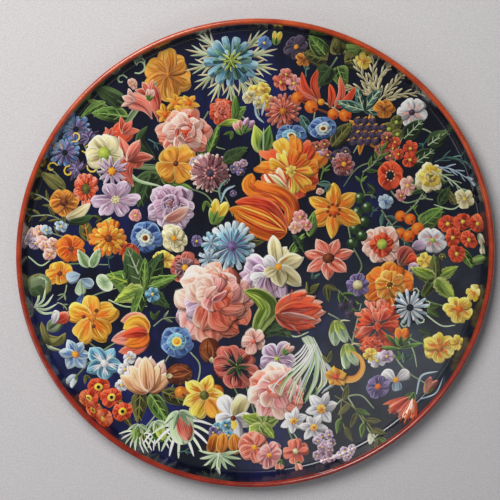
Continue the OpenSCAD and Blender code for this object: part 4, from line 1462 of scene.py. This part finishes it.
# Bottom
piece("dark_red_cress",
    bloom(-0.083, -0.468, 0.106, "darkred", 5, 1.25, turn=45, core="lime", core_r=0.14, veins="ink",
        frill=0.07, edge=0.5), spikes(-0.083, -0.468, 0.055, "dark", 5, 0, 360, 0.3))
piece("pale_pink_lower", bloom(-0.015, -0.354, 0.056, "blush", core="coral"))
piece("yellow_orchid",
    bloom(-0.225, -0.585, 0.098, "yellow", 5, 0.8, "flame", 70, 1.0, core=None, veins="amber", frill=0.05,
        edge=0.4),
    each(petal, (-0.215, -0.60, 240, 0.095, 0.08, "yellow", "wide"),
        (-0.21, -0.60, 300, 0.095, 0.085, "gold", "wide"), frill=0.06), spot(-0.222, -0.588, 0.02, "olive"))
pansy_petals = ((0, 118, 0.11, 0.072, "white", 8), (0, 62, 0.11, 0.072, "cream", 8),
    (0, 190, 0.075, 0.065, "white", 8), (0, 350, 0.085, 0.065, "white", 8),
    (0.005, 265, 0.11, 0.105, "white", 10))
piece("white_pansy",
    *[petal(-0.10, up - 0.69, ang, long, wide, tone, "wide", edge=1.0, n=n)
        for up, ang, long, wide, tone, n in pansy_petals],
    stroke([(-0.10, -0.70), (-0.095, -0.74)], 0.03, "yellow"), spot(-0.10, -0.69, 0.012, "brown"))
piece("blue_cluster_lower", cluster(-0.151, -0.745, 0.04, 0.026, 6, "violet", other="sky"))
piece("lime_quatrefoil", rosette(0.02, -0.715, 0.095, "lime", 5, 20, 360, 0.62, teeth=3, veins="green"))
piece("almonds",
    *[petal(px, py - 0.03, 85 + 200 * (px + 0.15), 0.092, 0.052, "amber", "oval")
        for px, py in ((-0.196, -0.816), (-0.151, -0.816), (-0.087, -0.82))])
piece("green_white_sprig", spikes(-0.16, -0.845, 0.088, "mint", 9, 270, 170, 0.15, 0.5),
    stroke([(-0.16, -0.84), (-0.17, -0.90), (-0.16, -0.95)], 0.006, "mint", level=2))
piece("corals_bottom", bloom(-0.01, -0.82, 0.068, "salmon", 5, 1.3, core="gold", veins="coral"),
    bloom(0.053, -0.855, 0.062, "pink", 5, 1.3, core="gold"),
    bloom(0.166, -0.843, 0.062, "coral", 4, core="cream"), bud(0.10, -0.90, 0.026, 260, "salmon"),
    bud(0.18, -0.91, 0.024, 280, "coral"))
piece("sweet_pea_lower",
    bloom(0.085, -0.435, 0.080, "lilac", 5, 1.0, "round", core="lime", core_r=0.14, veins="mauve",
        frill=0.06, edge=1.0), bud(0.13, -0.395, 0.03, 50, "blush"))
piece("peach_rose_lower",
    *[petal(0.085, -0.575, 20 + 45 * k, 0.12, 0.115, ("blush", "pink", "blush", "salmon")[k % 4], "wide",
            frill=0.08, edge=1.0, n=10) for k in range(8)],
    *[petal(0.085, -0.57, 60 * k, 0.085, 0.09, ("blush", "pink")[k % 2], "wide", frill=0.05, edge=1.0, n=9)
        for k in range(6)], spot(0.085, -0.565, 0.042, "salmon", n=7),
    petal(0.105, -0.59, 120, 0.065, 0.04, "blush", "oval", bend=0.4, edge=1.0),
    petal(0.065, -0.545, 330, 0.06, 0.035, "blush", "oval", bend=-0.4, edge=1.0))
plume = []
for k in range(30):
    lane = (k * 7 % 30) / 29 - 0.5
    foot_x = 0.175 + 0.24 * lane + 0.018 * math.sin(5 * k)
    tone = ("mint", "green", "white", "straw", "mint", "ice")[k % 6]
    plume.append(stroke([(0.215 + 0.05 * lane, -0.335 - 0.02 * abs(lane)), (0.245 + 0.06 * lane, -0.42),
                (foot_x + 0.035, -0.53), (foot_x - 0.02 * lane, -0.635 + 0.12 * abs(lane))], 0.0062, tone,
            (0.5, 0.3), level=1 + k % 2))
piece("white_plume", *plume,
    *[stroke([(0.205 + 0.01 * k, -0.37), (0.185 + 0.006 * k, -0.40 - 0.01 * k), (0.15, -0.43 - 0.02 * k)],
            0.006, "white", level=2) for k in range(6)])
narcissi = ((0.274, -0.655, 0.078), (0.157, -0.706, 0.062), (0.243, -0.735, 0.06))
piece("narcissi",
    *[bloom(px, py, r * 1.08, "white", 6, 0.85, "point", 20 + 400 * px, core="gold", core_r=0.26, edge=0.3)
      + carnation(px, py, r * 0.27, "yellow", rings=1, many=7) + dab(px, py, r * 0.1, "amber")
      for px, py, r in narcissi])
piece("tiny_lilacs_bottom",
    each(cluster, (0.29, -0.79, 0.035, 0.022, 6, "lilac"), (0.29, -0.86, 0.04, 0.022, 7, "mauve"),
        (0.39, -0.86, 0.035, 0.022, 5, "lilac")))

# Lower right
piece("orange_poppy_right",
    bloom(0.56, -0.12, 0.108, "orange", 5, 1.15, core=None, frill=0.08, edge=0.9, tone=0.6),
    bloom(0.56, -0.12, 0.070, "marigold", 5, 1.2, core="brown", core_r=0.2, dots="yellow", veins="orange",
        frill=0.08, edge=0.9))
piece("violet_ring_flower", bloom(0.424, -0.12, 0.05, "violet", 7, 1.2, core="cream", core_r=0.42))
piece("dark_berry_sprig", sprig([(0.34, -0.14), (0.38, -0.18), (0.42, -0.24)], 0.055, "green", 6),
    berries([(0.36, -0.21), (0.40, -0.20), (0.385, -0.245)], 0.02, "purple", None))
piece("lime_leaf_star",
    rosette(0.754, -0.095, 0.12, "lime", 5, 20, 360, 0.5, 6, veins="green", light="olive", ribs=2))
piece("yellow_primrose_right",
    bloom(0.854, -0.229, 0.070, "yellow", 5, 1.1, frill=0.07, core="orange", core_r=0.25, veins="amber"),
    bloom(0.917, -0.161, 0.04, "yellow", core="orange"))
piece("veiled_flower", spot(0.646, -0.22, 0.07, "ink", n=7),
    carnation(0.646, -0.22, 0.078, "ice", "white", rings=2, many=15, width=0.17, core="ink"),
    *[curl(*at(0.646, -0.22, a, 0.06), 0.022, a + 60, "mint", 0.8, 0.006) for a in range(0, 360, 60)])
piece("red_carnation", ruffled(0.51, -0.30, 0.072, 0.115, "red", "coral"),
    ruffled(0.485, -0.385, 0.045, 0.04, "red", "coral", 8))
piece("orange_bud_right", spikes(0.61, -0.40, 0.09, "green", 5, 95, 150, 0.2),
    bud(0.61, -0.345, 0.042, 85, "orange"))
piece("lime_bells",
    *[stroke([(px, py), (px + 0.01, py + 0.05), (px + 0.05, py + 0.05)], 0.007, "cream") + bud(px, py,
            0.056, 285, "mint", "lime") for px, py in ((0.345, -0.325), (0.393, -0.427))])
piece("primrose_low_right",
    bloom(0.773, -0.398, 0.072, "yellow", 6, 1.1, frill=0.07, core="amber", core_r=0.25, veins="orange"),
    bloom(0.85, -0.377, 0.036, "yellow", core="amber"))
piece("orange_trumpet",
    stroke([(0.395, -0.405), (0.435, -0.43), (0.45, -0.48), (0.42, -0.525), (0.36, -0.53)], 0.030, "amber",
        (0.1, 1.2), 0.3, 2),
    bloom(0.335, -0.515, 0.05, "gold", 5, 1.2, "flame", core="red", core_r=0.28, frill=0.08))
piece("trio_right", bloom(0.51, -0.449, 0.04, "white", 4, core="yellow"),
    bloom(0.55, -0.43, 0.034, "lilac", 4), bloom(0.48, -0.42, 0.03, "yellow", 4))
piece("butterfly_flower", petal(0.591, -0.54, 35, 0.07, 0.055, "white"),
    petal(0.591, -0.54, 145, 0.07, 0.055, "white"), petal(0.591, -0.535, 280, 0.05, 0.045, "ice"),
    dab(0.591, -0.535, 0.013, "gold"))
piece("purple_orange_core", bloom(0.515, -0.563, 0.055, "violet", 6, 1.3, core="orange", core_r=0.25))
piece("veiled_bud", bud(0.737, -0.563, 0.04, 60, "darkred"),
    stroke([(0.68, -0.60), (0.70, -0.52), (0.77, -0.50)], 0.009, "ice"),
    stroke([(0.70, -0.62), (0.78, -0.60), (0.80, -0.53)], 0.008, "ice"))
piece("carnation_fan",
    *[petal(0.668, -0.60, 202 + 5 * (k * 7 % 17), 0.13 - 0.018 * (k % 3), 0.028,
            ("red", "coral", "red")[k % 3], "fan", notch=0.15, frill=0.08, edge=1.0) for k in range(17)],
    spikes(0.67, -0.59, 0.045, "green", 3, 240, 60, 0.35))
olive_leaves = ((0.40, -0.64, 215), (0.42, -0.66, 330), (0.43, -0.68, 240), (0.46, -0.71, 350),
    (0.46, -0.72, 255), (0.49, -0.75, 335), (0.49, -0.76, 265), (0.52, -0.79, 320), (0.37, -0.62, 70),
    (0.52, -0.80, 280), (0.36, -0.70, 250), (0.38, -0.74, 290))
piece("olive_branch",
    each(stroke, ([(0.33, -0.60), (0.42, -0.66), (0.49, -0.75), (0.53, -0.84)], 0.006, "olive"),
        ([(0.36, -0.62), (0.36, -0.70), (0.40, -0.80)], 0.006, "olive"), level=2),
    *[leaf(px, py, 0.072, a, ("olive", "green", "olive")[k % 3], 0.42, 0.1, veins="olive", ribs=1)
        for k, (px, py, a) in enumerate(olive_leaves)])


FILL_TRIES = 2600
FILL_REACH = 0.90  # how far out it looks, in shares of the radius
FILL_COVER = 0.16  # the largest share of a gap that may be painted already
VEIL_FROM = 0.42  # the lower right, where the painting is dark and thinly covered
VEIL_EDGE = 0.84
VEIL_SKIPS = 0.45


def bare(x, y, reach):
    """Is there little paint yet within reach of that place?"""
    i = int(round(to_face(x, 0) / CELL)) + SIDE // 2
    j = int(round(to_face(y, 1) / CELL)) + SIDE // 2
    cells = int(reach * TRAY_R / CELL)
    return (heights[i - cells:i + cells + 1, j - cells:j + cells + 1] > 0).mean() <= FILL_COVER


def gap_filler():
    """Small leaves, tendrils and dots of blossom where the ground is still bare, by the seeded draws."""
    leaves, tendrils_made, blossom = [], [], []
    for k in range(FILL_TRIES):
        ang, dist = rng.uniform(0, 2 * math.pi), FILL_REACH * math.sqrt(rng.random())
        px, py = dist * math.cos(ang), dist * math.sin(ang)
        reach = rng.uniform(0.020, 0.042)
        if not bare(px, py, reach):
            continue
        veiled = px * 0.8 - py * 0.6 > VEIL_FROM
        if veiled and (dist > VEIL_EDGE or rng.random() < VEIL_SKIPS):
            continue
        turn = rng.uniform(0, 360)
        kind = rng.random()
        if kind < 0.45:
            tone = rng.choice(["green", "dark", "olive", "dark", "teal"])
            tail = at(px, py, turn + 180, reach)
            for size, aside in ((1.9, 0), (1.5, 55)):
                leaves.append(
                    leaf(*tail, reach * size, turn + aside, tone, 0.42, 0.15, veins="olive", ribs=0))
        elif kind < 0.80:
            tone = rng.choice(["stem", "green", "teal"])
            tail = at(px, py, turn + 180, reach * 1.3)
            mid = at(px, py, turn + 90, reach * 0.4)
            tendrils_made.append(stem([tail, mid, at(px, py, turn, reach * 1.3)], 0.005, tone))
            for side in (40, -45):
                tendrils_made.append(petal(*mid, turn + side, reach, reach * 0.3, tone, "leaf", n=4))
        else:
            tone = rng.choice(["pink", "lilac", "violet", "purple", "blush", "olive"])
            blossom.append(bloom(px, py, reach * 0.75, tone, 5, 1.3, turn=turn, n=5))
    piece("fill_leaves", *leaves)
    piece("fill_tendrils", *tendrils_made)
    piece("fill_blossom", *blossom)


gap_filler()

# ---------------------------------------------------------------------------------------------
# Floor, light and camera
# ---------------------------------------------------------------------------------------------
FLOOR_HALF = 2.5
FLOOR_DROP = 0.0002  # the floor is this far under the tray, so that the two don't fight for one plane
corners = [(-1, -1), (1, -1), (1, 1), (-1, 1)]
floor_z = cad_box[0][2] - FLOOR_DROP
floor_mesh = bpy.data.meshes.new("floor")
floor_mesh.from_pydata([(FLOOR_HALF * x, FLOOR_HALF * y, floor_z) for x, y in corners], [], [(0, 1, 2, 3)])
floor_mesh.materials.append(make_floor_material())
in_scene("floor", floor_mesh)

world = bpy.data.worlds.new("studio")
world.use_nodes = True
sky_light = world.node_tree.nodes["Background"].inputs
sky_light["Color"].default_value = (0.94, 0.97, 1.0, 1.0)
sky_light["Strength"].default_value = 0.11
bpy.context.scene.world = world


def aim(thing, place, target):
    """Puts a camera or light at place, looking at target, with the far side of the tray up in its view."""
    back = (Vector(place) - Vector(target)).normalized()
    right = Vector((0.0, 1.0, 0.0)).cross(back).normalized()
    turn = Matrix((right, back.cross(right), back)).transposed()
    thing.matrix_world = Matrix.Translation(Vector(place)) @ turn.to_4x4()


def panel(name, place, target, size, watts, tint):
    """A rectangular area light."""
    light = bpy.data.lights.new(name, "AREA")
    light.shape = "RECTANGLE"
    light.size, light.size_y = size
    light.energy = watts
    light.color = tint
    aim(in_scene(name, light), place, target)


panel("key", (-0.62, 0.95, 1.38), (0.0, 0.05, 0.0), (1.0, 1.0), 30.0, (1.0, 0.985, 0.96))
panel("fill", (-0.95, -0.75, 0.9), (-0.1, -0.2, 0.0), (0.6, 0.6), 2.2, (0.96, 0.97, 1.0))
panel("veil", (0.42, -0.72, 1.5), (0.1, -0.1, 0.0), (0.62, 0.5), 0.9, (0.92, 0.96, 1.0))

# The camera looks down from near overhead, tilted a little, with a long lens
EYE_FAR = 2.2
AIM = np.array([-0.00682, 0.00781, 0.012])
BACK = np.array([-0.0550, 0.2077, 0.9767])
camera = bpy.data.cameras.new("camera")
camera.lens = 151.7
camera.sensor_width = 36.0
eye = in_scene("camera", camera)
aim(eye, tuple(AIM + EYE_FAR * BACK), tuple(AIM))
bpy.context.scene.camera = eye
bpy.context.scene.view_settings.view_transform = "Standard"
